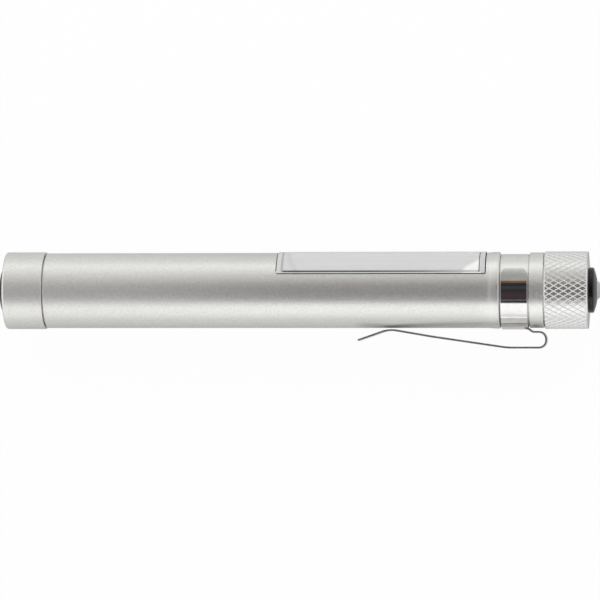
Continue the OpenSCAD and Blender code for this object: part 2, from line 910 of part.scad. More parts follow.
module led_leads() {
    color([0.80, 0.80, 0.82])
        for (side = [-1, 1])
            translate([0, 0, side * pin_pitch / 2])
                block([led_board_x - pin_tail, -pin_t / 2, -pin_t / 2], [led_x, pin_t / 2, pin_t / 2]);
}

module clip_band() {
    to_x = clip_band_x + clip_band_w;
    // Each corner is cut off by the face of a block that is well clear of it on its other sides
    cut_side = 4 * clip_corner;
    cut_off = cut_side / sqrt(8) - clip_corner / 2;
    color([0.75, 0.75, 0.76]) {
        difference() {
            translate([clip_band_x, 0, 0])
                rotate([0, 90, 0])
                    rotate_extrude(angle = 2 * clip_wrap, start = -90 - clip_wrap)
                        translate([clip_in_r, 0])
                            square([clip_t, clip_band_w]);
            for (side = [-1, 1], x = [clip_band_x - cut_off, to_x + cut_off])
                rotate([side * clip_wrap, 0, 0])
                    translate([x, -clip_out_r, -side * cut_off])
                        rotate([0, 45, 0])
                            cube([cut_side, 4 * clip_t, cut_side], center = true);
        }
        // The leg grows out of the middle of the band's thickness
        difference() {
            strip(clip_leg_line);
            bar(clip_in_r + clip_t / 2, clip_band_x - over, to_x + over);
        }
    }
}

module clip_arm() {
    color([0.70, 0.70, 0.71])
        strip(clip_arm_line);
}

barrel();
side_lens();
cob_reflector();
cob_board();
cob_strip();
cob_leads();
battery_liner();
cell_rear();
cell_front();
positive_contact();
contact_plug();
driver_board();
driver_chips();
spring_pad();
head_spring();
head_o_ring();
tail_o_ring();
tail_cap();
retaining_ring();
push_button();
switch_plunger();
moving_contact();
switch_housing();
switch_board();
fixed_contacts();
switch_spring();
battery_spring();
bezel();
led_holder();
led();
led_board();
led_leads();
clip_band();
clip_arm();
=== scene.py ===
# %% [markdown]
# # A pocket penlight, turned and dressed round its solids
#
# The light is a slim aluminium tube with a milky side window, a polished spring clip and a knurled head.
# The solids come first and stay where they are. Every piece made here takes its place from their boxes, with
# small trims that follow the photograph.

# %% The frame
import math

import bmesh
import bpy
from mathutils import Matrix, Vector


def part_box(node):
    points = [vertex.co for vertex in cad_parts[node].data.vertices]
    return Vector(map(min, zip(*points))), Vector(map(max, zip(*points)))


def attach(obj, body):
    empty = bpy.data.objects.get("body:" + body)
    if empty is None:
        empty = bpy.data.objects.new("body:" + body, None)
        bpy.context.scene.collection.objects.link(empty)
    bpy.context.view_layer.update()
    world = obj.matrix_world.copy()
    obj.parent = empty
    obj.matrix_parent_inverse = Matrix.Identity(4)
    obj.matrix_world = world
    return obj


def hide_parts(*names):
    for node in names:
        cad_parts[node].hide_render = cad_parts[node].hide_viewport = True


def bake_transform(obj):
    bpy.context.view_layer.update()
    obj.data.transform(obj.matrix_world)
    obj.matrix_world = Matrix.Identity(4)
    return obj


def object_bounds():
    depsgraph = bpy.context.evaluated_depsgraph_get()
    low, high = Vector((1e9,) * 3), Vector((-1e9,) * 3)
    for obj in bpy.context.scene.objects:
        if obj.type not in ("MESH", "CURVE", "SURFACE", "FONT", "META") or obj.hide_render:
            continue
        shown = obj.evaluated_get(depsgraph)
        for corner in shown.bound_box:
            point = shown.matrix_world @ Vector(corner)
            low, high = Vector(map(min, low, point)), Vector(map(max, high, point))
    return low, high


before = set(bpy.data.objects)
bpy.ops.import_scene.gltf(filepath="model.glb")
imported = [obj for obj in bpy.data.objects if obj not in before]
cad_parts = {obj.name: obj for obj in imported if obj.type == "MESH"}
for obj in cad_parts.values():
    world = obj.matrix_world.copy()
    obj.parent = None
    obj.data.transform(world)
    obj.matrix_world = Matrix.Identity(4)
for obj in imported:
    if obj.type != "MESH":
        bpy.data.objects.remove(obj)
cad_low, cad_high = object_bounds()
MM = 0.001
print("solids:", len(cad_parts), "box mm:", [round(side / MM, 2) for side in cad_high - cad_low])

# %% [markdown]
# ## The camera
#
# The light lies flat and is seen from straight above through a long lens, a little from the head's side, so
# that the front of the head shows and the tail's end doesn't. Long lenses keep the tube's sides parallel. Up
# in the picture is +Y, the side of the window.

# %% Camera
def add_object(name, data):
    """Makes an object of that data and puts it into the scene."""
    made = bpy.data.objects.new(name, data)
    bpy.context.scene.collection.objects.link(made)
    return made


def stand_back(target, way, distance):
    """The place of a camera or lamp that looks at target, level, from that far along way."""
    right = Vector((0, 1, 0)).cross(way).normalized()
    turned = Matrix((right, way.cross(right), way)).transposed().to_4x4()
    return Matrix.Translation(target + way * distance) @ turned


VIEW_TARGET = Vector((31.44, -2.165, 0.0)) * MM
VIEW_DISTANCE = 1.0
VIEW_YAW = 0.096
VIEW_PITCH = -0.0087
SENSOR_MM = 36.0
LENS_MM = 265.04
NEAR_LIMIT = 0.01

back = Vector((math.sin(VIEW_YAW), 0, math.cos(VIEW_YAW))) * math.cos(VIEW_PITCH)
back.y = math.sin(VIEW_PITCH)
camera_data = bpy.data.cameras.new("camera")
camera_data.sensor_width = SENSOR_MM
camera_data.lens = LENS_MM
camera_data.clip_start = NEAR_LIMIT
camera = add_object("camera", camera_data)
camera.matrix_world = stand_back(VIEW_TARGET, back, VIEW_DISTANCE)
bpy.context.scene.camera = camera
print("camera at", [round(value, 4) for value in camera.location])

# %% [markdown]
# ## Sizes
#
# Lengths and radii are read from the solids' boxes where a box shows them. What a box can't show, such as the
# depth of a thread or the run of a rounded edge, is named here or where it is first needed.

# %% Sizes
cap_low, cap_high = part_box("tail_cap")
bezel_low, bezel_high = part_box("bezel")
lens_low, lens_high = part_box("side_lens")
band_low, band_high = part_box("clip_band")
barrel_low, barrel_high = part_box("barrel")
button_low, button_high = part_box("push_button")
holder_low, holder_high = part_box("led_holder")
led_low, led_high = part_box("led")

PARTING = 0.08 * MM
SLIP_GAP = 0.05 * MM
EDGE = 0.12 * MM
EASE = 0.06 * MM
BARREL_R = 8.5 * MM
BORE_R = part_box("battery_liner")[1].z + SLIP_GAP
TAIL_X = cap_high.x + PARTING
HEAD_X = bezel_low.x - PARTING
CAP_BORE_R = BARREL_R - 0.7 * MM
FULL_TURN = 2 * math.pi
print("barrel from", round(TAIL_X / MM, 2), "to", round(HEAD_X / MM, 2))

# %% [markdown]
# ## Nodes for the finishes
#
# Each finish is a Principled shader with noise on the piece's own coordinates. Small helpers do most of the
# work: one makes specks of a given real size, and others let the specks vary a socket, move a colour or turn
# into tiny relief. A stretch draws the specks out, which is how lathe marks run round a turned piece.

# %% Node helpers
def feed(tree, slots, values):
    """Sets the sockets that values names, or links them where the value is a socket too."""
    for name, value in values.items():
        if isinstance(value, bpy.types.NodeSocket):
            tree.links.new(value, slots[name])
        else:
            slots[name].default_value = value


def add_node(tree, kind, inputs=None, **settings):
    """Adds a shader node, sets it up, feeds its inputs and returns its outputs."""
    made = tree.nodes.new("ShaderNode" + kind)
    for name, value in settings.items():
        setattr(made, name, value)
    feed(tree, made.inputs, inputs or {})
    return made.outputs


def new_finish(name, colour, rough, metal=0.0, sockets=None):
    """Makes a material with one Principled shader, and returns it with its tree and shader."""
    finish = bpy.data.materials.new(name)
    finish.use_nodes = True
    tree = finish.node_tree
    shader = tree.nodes["Principled BSDF"]
    feed(tree, shader.inputs, {"Base Color": (*colour, 1), "Roughness": rough, "Metallic": metal})
    feed(tree, shader.inputs, sockets or {})
    return finish, tree, shader


# %% Specks
VARY_BETWEEN = (0.3, 0.7)


def specks(tree, size, stretch=(1, 1, 1), detail=2.0):
    """Noise whose specks are about size across, drawn out along each axis by stretch."""
    place = add_node(tree, "TexCoord")["Object"]
    scale = [1 / (size * draw) for draw in stretch]
    drawn = add_node(tree, "Mapping", {"Vector": place, "Scale": scale})["Vector"]
    noise = {"Vector": drawn, "Scale": 1.0, "Detail": detail, "Roughness": 0.55}
    return add_node(tree, "TexNoise", noise)[0]


def vary(tree, shader, socket, noise, low, high):
    """Lets noise move a number socket between low and high, and returns what feeds that socket."""
    least, most = VARY_BETWEEN
    limits = {"Value": noise, "From Min": least, "From Max": most, "To Min": low, "To Max": high}
    spread = add_node(tree, "MapRange", limits)["Result"]
    feed(tree, shader.inputs, {socket: spread})
    return spread


# %% Colour and relief
MOTTLE_BETWEEN = (0.32, 0.68)


def colour_ramp(tree, value, stops):
    """A ramp that value runs along. Its stops are a position and a colour with alpha."""
    ramp = tree.nodes.new("ShaderNodeValToRGB")
    elements = ramp.color_ramp.elements
    while len(elements) < len(stops):
        elements.new(1.0)
    for element, (position, colour) in zip(elements, stops):
        element.position = position
        element.color = colour
    feed(tree, ramp.inputs, {"Fac": value})
    return ramp.outputs


def colour_between(tree, shader, value, dark, light, between=(0.0, 1.0)):
    """Lets value move the base colour between two colours."""
    ramp = colour_ramp(tree, value, list(zip(between, [(*dark, 1), (*light, 1)])))
    feed(tree, shader.inputs, {"Base Color": ramp["Color"]})


def mottle(tree, shader, noise, dark, light):
    """Lets noise move the base colour between two colours."""
    colour_between(tree, shader, noise, dark, light, MOTTLE_BETWEEN)


def relief(tree, shader, noise, height):
    """Turns noise into fine relief of that height, over any relief that is there already."""
    bump = {"Strength": 1.0, "Distance": height, "Height": noise}
    before = shader.inputs["Normal"].links
    if before:
        bump["Normal"] = before[0].from_socket
    feed(tree, shader.inputs, {"Normal": add_node(tree, "Bump", bump)["Normal"]})


# %% Sums and soft edges
def calculate(tree, operation, *terms, clamp=False):
    """A Math node fed with numbers and sockets."""
    return add_node(tree, "Math", dict(enumerate(terms)), operation=operation, use_clamp=clamp)[0]


def beside_line(tree, through, way, soft, easing="SMOOTHSTEP"):
    """Rises from 0 to 1 across a straight line in the XY plane, in the direction of way."""
    facing = Vector((*way, 0)).normalized()
    middle = facing.dot(Vector((*through, 0)))
    place = add_node(tree, "TexCoord")["Object"]
    along = add_node(tree, "VectorMath", {0: place, 1: facing}, operation="DOT_PRODUCT")["Value"]
    limits = {"Value": along, "From Min": middle - soft, "From Max": middle + soft}
    return add_node(tree, "MapRange", limits, interpolation_type=easing)["Result"]


def along_x(tree, from_x, to_x, easing="SMOOTHSTEP"):
    """Rises from 0 to 1 along X, between two places."""
    soft = (to_x - from_x) / 2
    return beside_line(tree, (from_x + soft, 0), (1, 0), soft, easing)


# %% [markdown]
# ## Aluminium
#
# The barrel and the cap are bead-blasted and anodised: a soft pale sheen with a grain a third of a millimetre
# across. Along the barrel the sheen gets harder, and near the head the metal shows lathe marks, so both fade
# in along X. The knurl is the same metal with a brighter shine. The front of the head is smoother, and its
# colour is painted darker as shade, standing in for the dark that the front reflects.

# %% Blasted aluminium
LATHE_FROM_X = lens_high.x - 3 * MM
LATHE_TO_X = band_low.x
LATHE_CONTRAST = 1.2
LATHE_PALER = 0.24
LATHE_SMOOTHER = 0.02
SATIN_FROM_X = cad_low.x + 20 * MM
SATIN_TO_X = lens_low.x + 15 * MM
SATIN_SMOOTHER = 0.05
SATIN_METAL = 0.8
HEAD_METAL = 0.85


def blasted_aluminium(name, lathe_marks):
    """Pale blasted metal. With lathe marks, it also gets a harder sheen towards the head."""
    finish, tree, shader = new_finish(
        name, (0.875, 0.872, 0.845), 0.4, metal=SATIN_METAL, sockets={"Specular Tint": (0.75, 0.75, 0.75, 1)},
    )
    grain = specks(tree, 0.3 * MM, stretch=(1, 1.6, 1.6))
    rough = vary(tree, shader, "Roughness", specks(tree, 0.5 * MM), 0.38, 0.46)
    relief(tree, shader, specks(tree, 0.16 * MM, stretch=(1, 2, 2)), 0.008 * MM)
    if lathe_marks:
        turned = along_x(tree, LATHE_FROM_X, LATHE_TO_X)
        streaks = calculate(tree, "SUBTRACT", specks(tree, 0.2 * MM, stretch=(1, 60, 60), detail=3.0), 0.5)
        marks = calculate(tree, "MULTIPLY", turned, streaks)
        grain = calculate(tree, "MULTIPLY_ADD", marks, LATHE_CONTRAST, grain)
        grain = calculate(tree, "MULTIPLY_ADD", turned, LATHE_PALER, grain)
        satin = along_x(tree, SATIN_FROM_X, SATIN_TO_X)
        rough = calculate(tree, "MULTIPLY_ADD", satin, -SATIN_SMOOTHER, rough)
        rough = calculate(tree, "MULTIPLY_ADD", turned, -LATHE_SMOOTHER, rough)
        metal = calculate(tree, "MULTIPLY_ADD", satin, HEAD_METAL - SATIN_METAL, SATIN_METAL)
        feed(tree, shader.inputs, {"Roughness": rough, "Metallic": metal})
        relief(tree, shader, marks, 0.035 * MM)
    mottle(tree, shader, grain, (0.81, 0.807, 0.782), (0.94, 0.937, 0.909))
    return finish


barrel_finish = blasted_aluminium("blasted_barrel", lathe_marks=True)
cap_finish = blasted_aluminium("blasted_cap", lathe_marks=False)
print("finishes:", barrel_finish.name, cap_finish.name)

# %% Bezel aluminium
def knurl_aluminium():
    finish, tree, shader = new_finish("knurl_aluminium", (0.94, 0.937, 0.92), 0.34, metal=1.0)
    vary(tree, shader, "Roughness", specks(tree, 0.3 * MM), 0.29, 0.39)
    mottle(tree, shader, specks(tree, 0.2 * MM), (0.89, 0.887, 0.87), (0.98, 0.977, 0.96))
    relief(tree, shader, specks(tree, 0.1 * MM), 0.004 * MM)
    return finish


# The front of the head: smooth turned metal, whose dark base colour is painted shade that stands in for the
# dark it reflects.
def turned_aluminium_painted_shade():
    finish, tree, shader = new_finish("turned_aluminium_painted_shade", (0.37, 0.368, 0.363), 0.08, metal=1.0)
    vary(tree, shader, "Roughness", specks(tree, 0.3 * MM), 0.05, 0.11)
    mottle(tree, shader, specks(tree, 0.3 * MM), (0.33, 0.328, 0.323), (0.41, 0.408, 0.403))
    return finish


bezel_finish = knurl_aluminium()
print("finish:", bezel_finish.name)

# %% [markdown]
# ## Turning a piece
#
# A lathe makes a piece from its half section, and so does spin. A half section is a wire in the XY plane,
# with the light's axis as X. Where a corner has a third number, bevelling that one vertex rounds it before
# the spin, which is cheaper and cleaner than bevelling the finished ring.

# %% Mesh helpers
WELD = 0.5e-6


def verts_of(parts):
    return [part for part in parts if isinstance(part, bmesh.types.BMVert)]


def edges_of(parts):
    return [part for part in parts if isinstance(part, bmesh.types.BMEdge)]


def cut_plane(bm, point, normal, parts=None, clear_outer=False):
    """Cuts the mesh, or some parts of it, along a plane."""
    bmesh.ops.bisect_plane(
        bm, geom=parts or bm.verts[:] + bm.edges[:] + bm.faces[:], plane_co=point, plane_no=normal,
        clear_outer=clear_outer, dist=WELD,
    )


def rim_at(bm, x):
    """The open edges that lie in the plane at x."""
    return [
        edge for edge in bm.edges
        if edge.is_boundary and all(abs(vert.co.x - x) < 2 * WELD for vert in edge.verts)
    ]


# %% Wires
ROUND_STEPS = 5


def string_wire(bm, points, closed=False, start=None):
    """Strings a wire through points in the XY plane, and rounds those that give a third number."""
    corners = [bm.verts.new((point[0], point[1], 0)) for point in points]
    chain = ([start] if start else []) + corners
    for one, two in zip(chain, chain[1:]):
        bm.edges.new((one, two))
    if closed:
        bm.edges.new((chain[-1], chain[0]))
    last = corners[-1]
    for corner, point in zip(corners, points):
        if len(point) == 3:
            bmesh.ops.bevel(
                bm, geom=[corner], offset=point[2], offset_type="ABSOLUTE", affect="VERTICES",
                segments=ROUND_STEPS, profile=0.5, material=-1, clamp_overlap=True,
            )
    return last


def string_arc(bm, start, centre_x, angle, steps=10):
    """Carries a wire on from start, along an arc in the XY plane whose centre lies on the axis."""
    made = bmesh.ops.spin(
        bm, geom=[start], cent=(centre_x, 0, 0), axis=(0, 0, 1), angle=angle, steps=steps,
    )
    return verts_of(made["geom_last"])[0]


# %% Turning
TURN_STEPS = 128


def turn_wire(bm, steps=TURN_STEPS):
    """Spins the wire once round the light's axis, welds the seam and the poles, and faces it outwards."""
    bmesh.ops.spin(
        bm, geom=bm.verts[:] + bm.edges[:], cent=(0, 0, 0), axis=(1, 0, 0), angle=FULL_TURN,
        steps=steps, use_merge=True,
    )
    bmesh.ops.remove_doubles(bm, verts=bm.verts[:], dist=WELD)
    bmesh.ops.recalc_face_normals(bm, faces=bm.faces[:])


def sweep_wire(bm, lean, stretches):
    """Leans the wire over about the axis, and spins it back through stretches of an angle and steps."""
    bmesh.ops.rotate(bm, verts=bm.verts[:], cent=(0, 0, 0), matrix=Matrix.Rotation(lean, 3, "X"))
    row = bm.verts[:] + bm.edges[:]
    for angle, steps in stretches:
        made = bmesh.ops.spin(bm, geom=row, cent=(0, 0, 0), axis=(-1, 0, 0), angle=angle, steps=steps)
        row = made["geom_last"]


def face_outwards(bm):
    """Turns an open skin round the axis so that its faces look away from the axis."""
    bmesh.ops.recalc_face_normals(bm, faces=bm.faces[:])
    sample = bm.faces[:][0]
    away = sample.calc_center_median() * Vector((0, 1, 1))
    if sample.normal.dot(away) < 0:
        bmesh.ops.reverse_faces(bm, faces=bm.faces[:])


# %% Making a piece
def make_piece(name, bm, finishes, body=None, stands_for=(), crease=35, even=True):
    """Makes a shaded piece of a bmesh. It rides on its body, if given, and stands for its solids."""
    mesh = bpy.data.meshes.new(name)
    bm.to_mesh(mesh)
    bm.free()
    mesh.shade_smooth()
    mesh.set_sharp_from_angle(angle=math.radians(crease))
    for finish in finishes:
        mesh.materials.append(finish)
    piece = add_object(name, mesh)
    if even:
        normals = piece.modifiers.new("even_normals", "WEIGHTED_NORMAL")
        normals.keep_sharp = True
    if body:
        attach(piece, body)
    if stands_for:
        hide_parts(*stands_for)
    print(name, len(mesh.polygons), "faces")
    return piece


# %% [markdown]
# ## The barrel
#
# One half section gives the whole tube: spigots, shoulders, the bead beside the clip's groove, the groove and
# the collar. The window is milled as on the real tube. Three planes cut the faces there, what lies inside
# them is deleted, and a bridge closes the wall between the outer skin and the bore. The threads are one small
# trapezium each, spun in small steps that also move along X, which makes a true helix.

# %% Barrel outline
SPIGOT_R = BARREL_R - 0.8 * MM
THREAD_DEPTH = 0.4 * MM
THREAD_PITCH = 1.0 * MM
THREAD_SINK = 0.03 * MM
THREAD_FOOT = 0.42 * THREAD_PITCH
THREAD_CREST = 0.08 * THREAD_PITCH
SEAT_R = SPIGOT_R - 0.66 * MM
SEAT_FROM = 0.3 * MM
SEAT_TO = 1.06 * MM
THREAD_FROM = SEAT_TO + SEAT_FROM
GROOVE_R = BARREL_R - 0.35 * MM
BAND_FROM = band_low.x + 0.16 * MM
BAND_TO = BAND_FROM + 5.97 * MM
GROOVE_W = 6.46 * MM
GROOVE_X = BAND_FROM - 0.1 * MM
COLLAR_X = GROOVE_X + GROOVE_W
BEAD_R = barrel_high.y
UNDERCUT_W = 0.2 * MM
UNDERCUT_R = GROOVE_R - 0.4 * MM
# The bead's foot, top and far edge, each with the run of its rounding
BEAD = [
    (GROOVE_X - 2.9 * MM, BARREL_R, 0.3 * MM),
    (GROOVE_X - 1.4 * MM, BEAD_R, 0.5 * MM),
    (GROOVE_X - 0.3 * MM, BEAD_R, 0.2 * MM),
]


def spigot(shoulder_x, end_x):
    """Points of a spigot from its shoulder to its end: the O-ring's seat, then the core of the thread."""
    way = math.copysign(1, end_x - shoulder_x)
    return [
        (shoulder_x, SPIGOT_R),
        (shoulder_x + way * SEAT_FROM, SPIGOT_R),
        (shoulder_x + way * SEAT_FROM, SEAT_R),
        (shoulder_x + way * SEAT_TO, SEAT_R),
        (shoulder_x + way * SEAT_TO, SPIGOT_R, EDGE / 2),
        (shoulder_x + way * THREAD_FROM, SPIGOT_R, EDGE / 2),
        (shoulder_x + way * THREAD_FROM, SPIGOT_R - THREAD_DEPTH),
        (end_x, SPIGOT_R - THREAD_DEPTH, EDGE),
    ]


barrel_outline = [
    *reversed(spigot(TAIL_X, barrel_low.x)),
    (TAIL_X + EASE, SPIGOT_R),
    (TAIL_X + EASE, BARREL_R, EDGE),
    *BEAD,
    (GROOVE_X - UNDERCUT_W / 2, GROOVE_R, EASE / 2),
    (GROOVE_X - UNDERCUT_W / 2, UNDERCUT_R),
    (GROOVE_X + UNDERCUT_W / 2, UNDERCUT_R),
    (GROOVE_X + UNDERCUT_W / 2, GROOVE_R, EASE / 2),
    (COLLAR_X - UNDERCUT_W, GROOVE_R, EASE / 2),
    (COLLAR_X - UNDERCUT_W, UNDERCUT_R),
    (COLLAR_X, UNDERCUT_R),
    (COLLAR_X, BARREL_R, EASE),
    (HEAD_X - EASE, BARREL_R, EDGE),
    (HEAD_X - EASE, SPIGOT_R),
    *spigot(HEAD_X, barrel_high.x),
    (barrel_high.x, BORE_R),
    (barrel_low.x, BORE_R),
]
print("barrel outline:", len(barrel_outline), "points")

# %% Opening for the window
WINDOW_CHAMFER = 0.05 * MM
WINDOW_FROM = lens_low.x + 0.33 * MM
WINDOW_TO = lens_high.x + 0.27 * MM
WINDOW_EDGE_Y = lens_low.y - 0.22 * MM


def mill_window(bm):
    """Cuts the window out of both skins of the tube, eases its outer edge and closes the wall round it."""
    from_x, to_x = WINDOW_FROM - WINDOW_CHAMFER, WINDOW_TO + WINDOW_CHAMFER
    side_y = WINDOW_EDGE_Y - WINDOW_CHAMFER
    cut_plane(bm, (from_x, 0, 0), (1, 0, 0))
    cut_plane(bm, (to_x, 0, 0), (1, 0, 0))
    cut_plane(bm, (0, side_y, 0), (0, 1, 0))

    def inside(face):
        middle = face.calc_center_median()
        return from_x < middle.x < to_x and middle.y > side_y

    bmesh.ops.delete(bm, geom=[face for face in bm.faces if inside(face)], context="FACES")
    rims = [edge for edge in bm.edges if edge.is_boundary]
    outer = [edge for edge in rims if edge.verts[0].co.yz.length > (BARREL_R + BORE_R) / 2]
    inner = [edge for edge in rims if edge not in outer]
    made = bmesh.ops.extrude_edge_only(bm, edges=outer)["geom"]
    sunk = 1 - WINDOW_CHAMFER / BARREL_R
    for vert in verts_of(made):
        vert.co = Vector((vert.co.x, vert.co.y * sunk, vert.co.z * sunk))
        vert.co.x = min(max(vert.co.x, WINDOW_FROM), WINDOW_TO)
        vert.co.y = max(vert.co.y, WINDOW_EDGE_Y)
    bmesh.ops.bridge_loops(bm, edges=edges_of(made) + inner)
    bmesh.ops.recalc_face_normals(bm, faces=bm.faces[:])
    print("open edges of the barrel:", sum(edge.is_boundary for edge in bm.edges))


# %% Thread
def cut_thread(bm, from_x, to_x):
    """Winds one ridge of thread on a spigot's core, in whole quarter turns, as a closed helix of its own."""
    turns = math.floor((to_x - from_x - THREAD_PITCH) / THREAD_PITCH * 4) / 4
    foot_r = SPIGOT_R - THREAD_DEPTH - THREAD_SINK
    start_x = from_x + THREAD_PITCH / 2
    section = [
        (-THREAD_FOOT, foot_r), (-THREAD_CREST, SPIGOT_R), (THREAD_CREST, SPIGOT_R), (THREAD_FOOT, foot_r),
    ]
    ridge = bm.faces.new([bm.verts.new((start_x + along, radius, 0)) for along, radius in section])
    steps = round(turns * TURN_STEPS / 2)
    bmesh.ops.spin(
        bm, geom=[ridge], cent=(0, 0, 0), axis=(1, 0, 0), angle=turns * FULL_TURN, steps=steps,
        dvec=(turns * THREAD_PITCH / steps, 0, 0),
    )
    return turns


# %% Barrel
barrel_bm = bmesh.new()
string_wire(barrel_bm, barrel_outline, closed=True)
turn_wire(barrel_bm)
mill_window(barrel_bm)
tail_turns = cut_thread(barrel_bm, barrel_low.x, TAIL_X - THREAD_FROM)
head_turns = cut_thread(barrel_bm, HEAD_X + THREAD_FROM, barrel_high.x)
bmesh.ops.recalc_face_normals(barrel_bm, faces=barrel_bm.faces[:])
make_piece("turned_barrel", barrel_bm, [barrel_finish], "barrel", ["barrel"])
print("turns of thread:", tail_turns, head_turns)

# %% [markdown]
# ## The tail cap and its button
#
# The cap is a plain cup with a hole in its end, and its rounded edge is one bevelled corner of the half
# section. The button's dome is an arc about a centre on the axis. The gap at the cap's front reads as the
# dark parting line, so both its edges are eased.

# %% Tail cap
CAP_R = cap_high.y + 0.06 * MM
CAP_FROM = cap_low.x - 0.22 * MM
CAP_TO = cap_high.x - 3 * EASE
CAP_ROUND = 0.5 * MM
CAP_INNER_X = cap_low.x + 1.0 * MM
BUTTON_R = 5.1 * MM
BUTTON_HOLE_R = BUTTON_R + 0.15 * MM

cap_bm = bmesh.new()
cap_outline = [
    (CAP_TO, CAP_BORE_R, EDGE),
    (CAP_TO, CAP_R, EDGE),
    (CAP_FROM, CAP_R, CAP_ROUND),
    (CAP_FROM, BUTTON_HOLE_R, EDGE),
    (CAP_INNER_X, BUTTON_HOLE_R),
    (CAP_INNER_X, CAP_BORE_R),
]
string_wire(cap_bm, cap_outline, closed=True)
turn_wire(cap_bm)
make_piece("tail_cap_shell", cap_bm, [cap_finish], "tail_cap", ["tail_cap"])

# %% Button
BUTTON_DOME_R = 15 * MM
BUTTON_DOME_SHARE = 0.97
BUTTON_RIM_DROP = 0.09 * MM
BUTTON_FLANGE_X = cap_low.x + 1.05 * MM
BUTTON_SKIN = 1.2 * MM


def black_plastic(name, rough, shine=0.5):
    finish, tree, shader = new_finish(
        name, (0.012, 0.012, 0.013), rough, sockets={"Specular IOR Level": shine},
    )
    vary(tree, shader, "Roughness", specks(tree, 0.4 * MM), rough - 0.06, rough + 0.06)
    mottle(tree, shader, specks(tree, 0.9 * MM), (0.006, 0.006, 0.007), (0.012, 0.012, 0.013))
    relief(tree, shader, specks(tree, 0.12 * MM), 0.003 * MM)
    return finish


def button_cover():
    bm = bmesh.new()
    apex = bm.verts.new((button_low.x, 0, 0))
    dome_turn = math.asin(BUTTON_DOME_SHARE * BUTTON_R / BUTTON_DOME_R)
    dome_edge = string_arc(bm, apex, button_low.x + BUTTON_DOME_R, -dome_turn)
    inner_r, inner_x = BUTTON_R - BUTTON_SKIN, button_low.x + 2 * BUTTON_SKIN
    rest_of_section = [
        (dome_edge.co.x + BUTTON_RIM_DROP, BUTTON_R, EDGE),
        (BUTTON_FLANGE_X, BUTTON_R),
        (BUTTON_FLANGE_X, button_high.y, EDGE),
        (button_high.x, button_high.y, EDGE),
        (button_high.x, inner_r),
        (inner_x, inner_r),
        (inner_x, 0),
    ]
    string_wire(bm, rest_of_section, start=dome_edge)
    turn_wire(bm)
    return bm


button_finish = black_plastic("button_black", 0.38)
make_piece("button_cover", button_cover(), [button_finish], "button", ["push_button"])

# %% [markdown]
# ## The side window
#
# The cover is one milky moulding that wraps round the tube and stands a little proud of it: a narrow frame, a
# fine groove, and a pad. It starts as an arc of skin spun in three stretches, so that the frame has its own
# faces. Insets then sink the groove and bring the pad up again, and the whole skin gets its wall last. The
# groove and the cover's walls are painted near black as shade, and the milky plastic carries a painted
# highlight and painted shade.

# %% Window sizes
LENS_GAP = 0.18 * MM
LENS_SIDE_GAP = 0.08 * MM
LENS_HALF = math.acos(WINDOW_EDGE_Y / BARREL_R) - LENS_SIDE_GAP / BARREL_R
FRAME_END = 0.92 * MM
FRAME_SIDE = 0.25 * MM
PAD_R = lens_high.y + 0.08 * MM
PAD_FROM = WINDOW_FROM + LENS_GAP + FRAME_END
PAD_TO = WINDOW_TO - LENS_GAP - FRAME_END
LINE_WIDTH = 0.42 * MM
LINE_DEPTH = 0.09 * MM
LENS_WALL = 0.95 * MM
print("pad of the window from", round(PAD_FROM / MM, 2), "to", round(PAD_TO / MM, 2))

# %% Milky plastic
MILKY_CLEAR = 0.2
MILKY_LEVEL = 0.35
# Places of the painted highlight in the corner at the head's end and of the painted shaded streak at the
# tail's end
GLINT_X = WINDOW_TO - 5.1 * MM
GLINT_Y = 4.82 * MM
SHADE_FROM_X = WINDOW_FROM + 2.4 * MM
SHADE_TO_X = WINDOW_FROM + 3.6 * MM
SHADE_Y = 7.0 * MM
HARD = 0.02 * MM


def milky_cover():
    """Hazy plastic with a painted highlight in a corner at the head's end, a painted shaded streak at the
    tail's end, and the frame past the pad at the head's end painted darker as shade.
    """
    finish, tree, shader = new_finish(
        "milky_cover", (0.76, 0.76, 0.76), 0.14, sockets={"Transmission Weight": MILKY_CLEAR, "IOR": 1.49},
    )
    in_corner = beside_line(tree, (GLINT_X, GLINT_Y), (0.59, -1), 0.5 * MM)
    near_end = beside_line(tree, (GLINT_X, 0), (1, 0), 0.8 * MM)
    on_pad = beside_line(tree, (PAD_TO, 0), (-1, 0), HARD)
    on_frame = beside_line(tree, (PAD_TO, 0), (1, 0), HARD)
    glint = calculate(tree, "MULTIPLY", in_corner, calculate(tree, "MULTIPLY", near_end, on_pad))
    before_streak = beside_line(tree, (SHADE_TO_X, SHADE_Y), (-1, -0.49), 0.25 * MM)
    past_streak = beside_line(tree, (SHADE_FROM_X, SHADE_Y), (1, 0.49), 0.7 * MM)
    shade = calculate(tree, "MULTIPLY", before_streak, past_streak)
    streaks = calculate(tree, "SUBTRACT", specks(tree, 0.7 * MM, stretch=(30, 1, 1)), 0.5)
    level = MILKY_LEVEL
    # Painted light: the glint lifts the colour as a painted highlight, and the streak and the frame past the
    # pad darken it as painted shade. The streaks are the plastic's own tone.
    for part, weight in [(glint, 1 - MILKY_LEVEL), (on_frame, -0.3), (shade, -0.4), (streaks, 0.6)]:
        level = calculate(tree, "MULTIPLY_ADD", part, weight, level)
    colour_between(tree, shader, level, (0.79, 0.79, 0.793), (0.97, 0.97, 0.965))
    # At the painted highlight the plastic lets no light through, so it stays bright.
    clear = calculate(tree, "MULTIPLY_ADD", glint, -MILKY_CLEAR, MILKY_CLEAR)
    feed(tree, shader.inputs, {"Transmission Weight": clear})
    vary(tree, shader, "Roughness", specks(tree, 1.5 * MM, stretch=(6, 1, 1)), 0.1, 0.2)
    relief(tree, shader, specks(tree, 0.8 * MM, stretch=(12, 1, 1)), 0.003 * MM)
    return finish


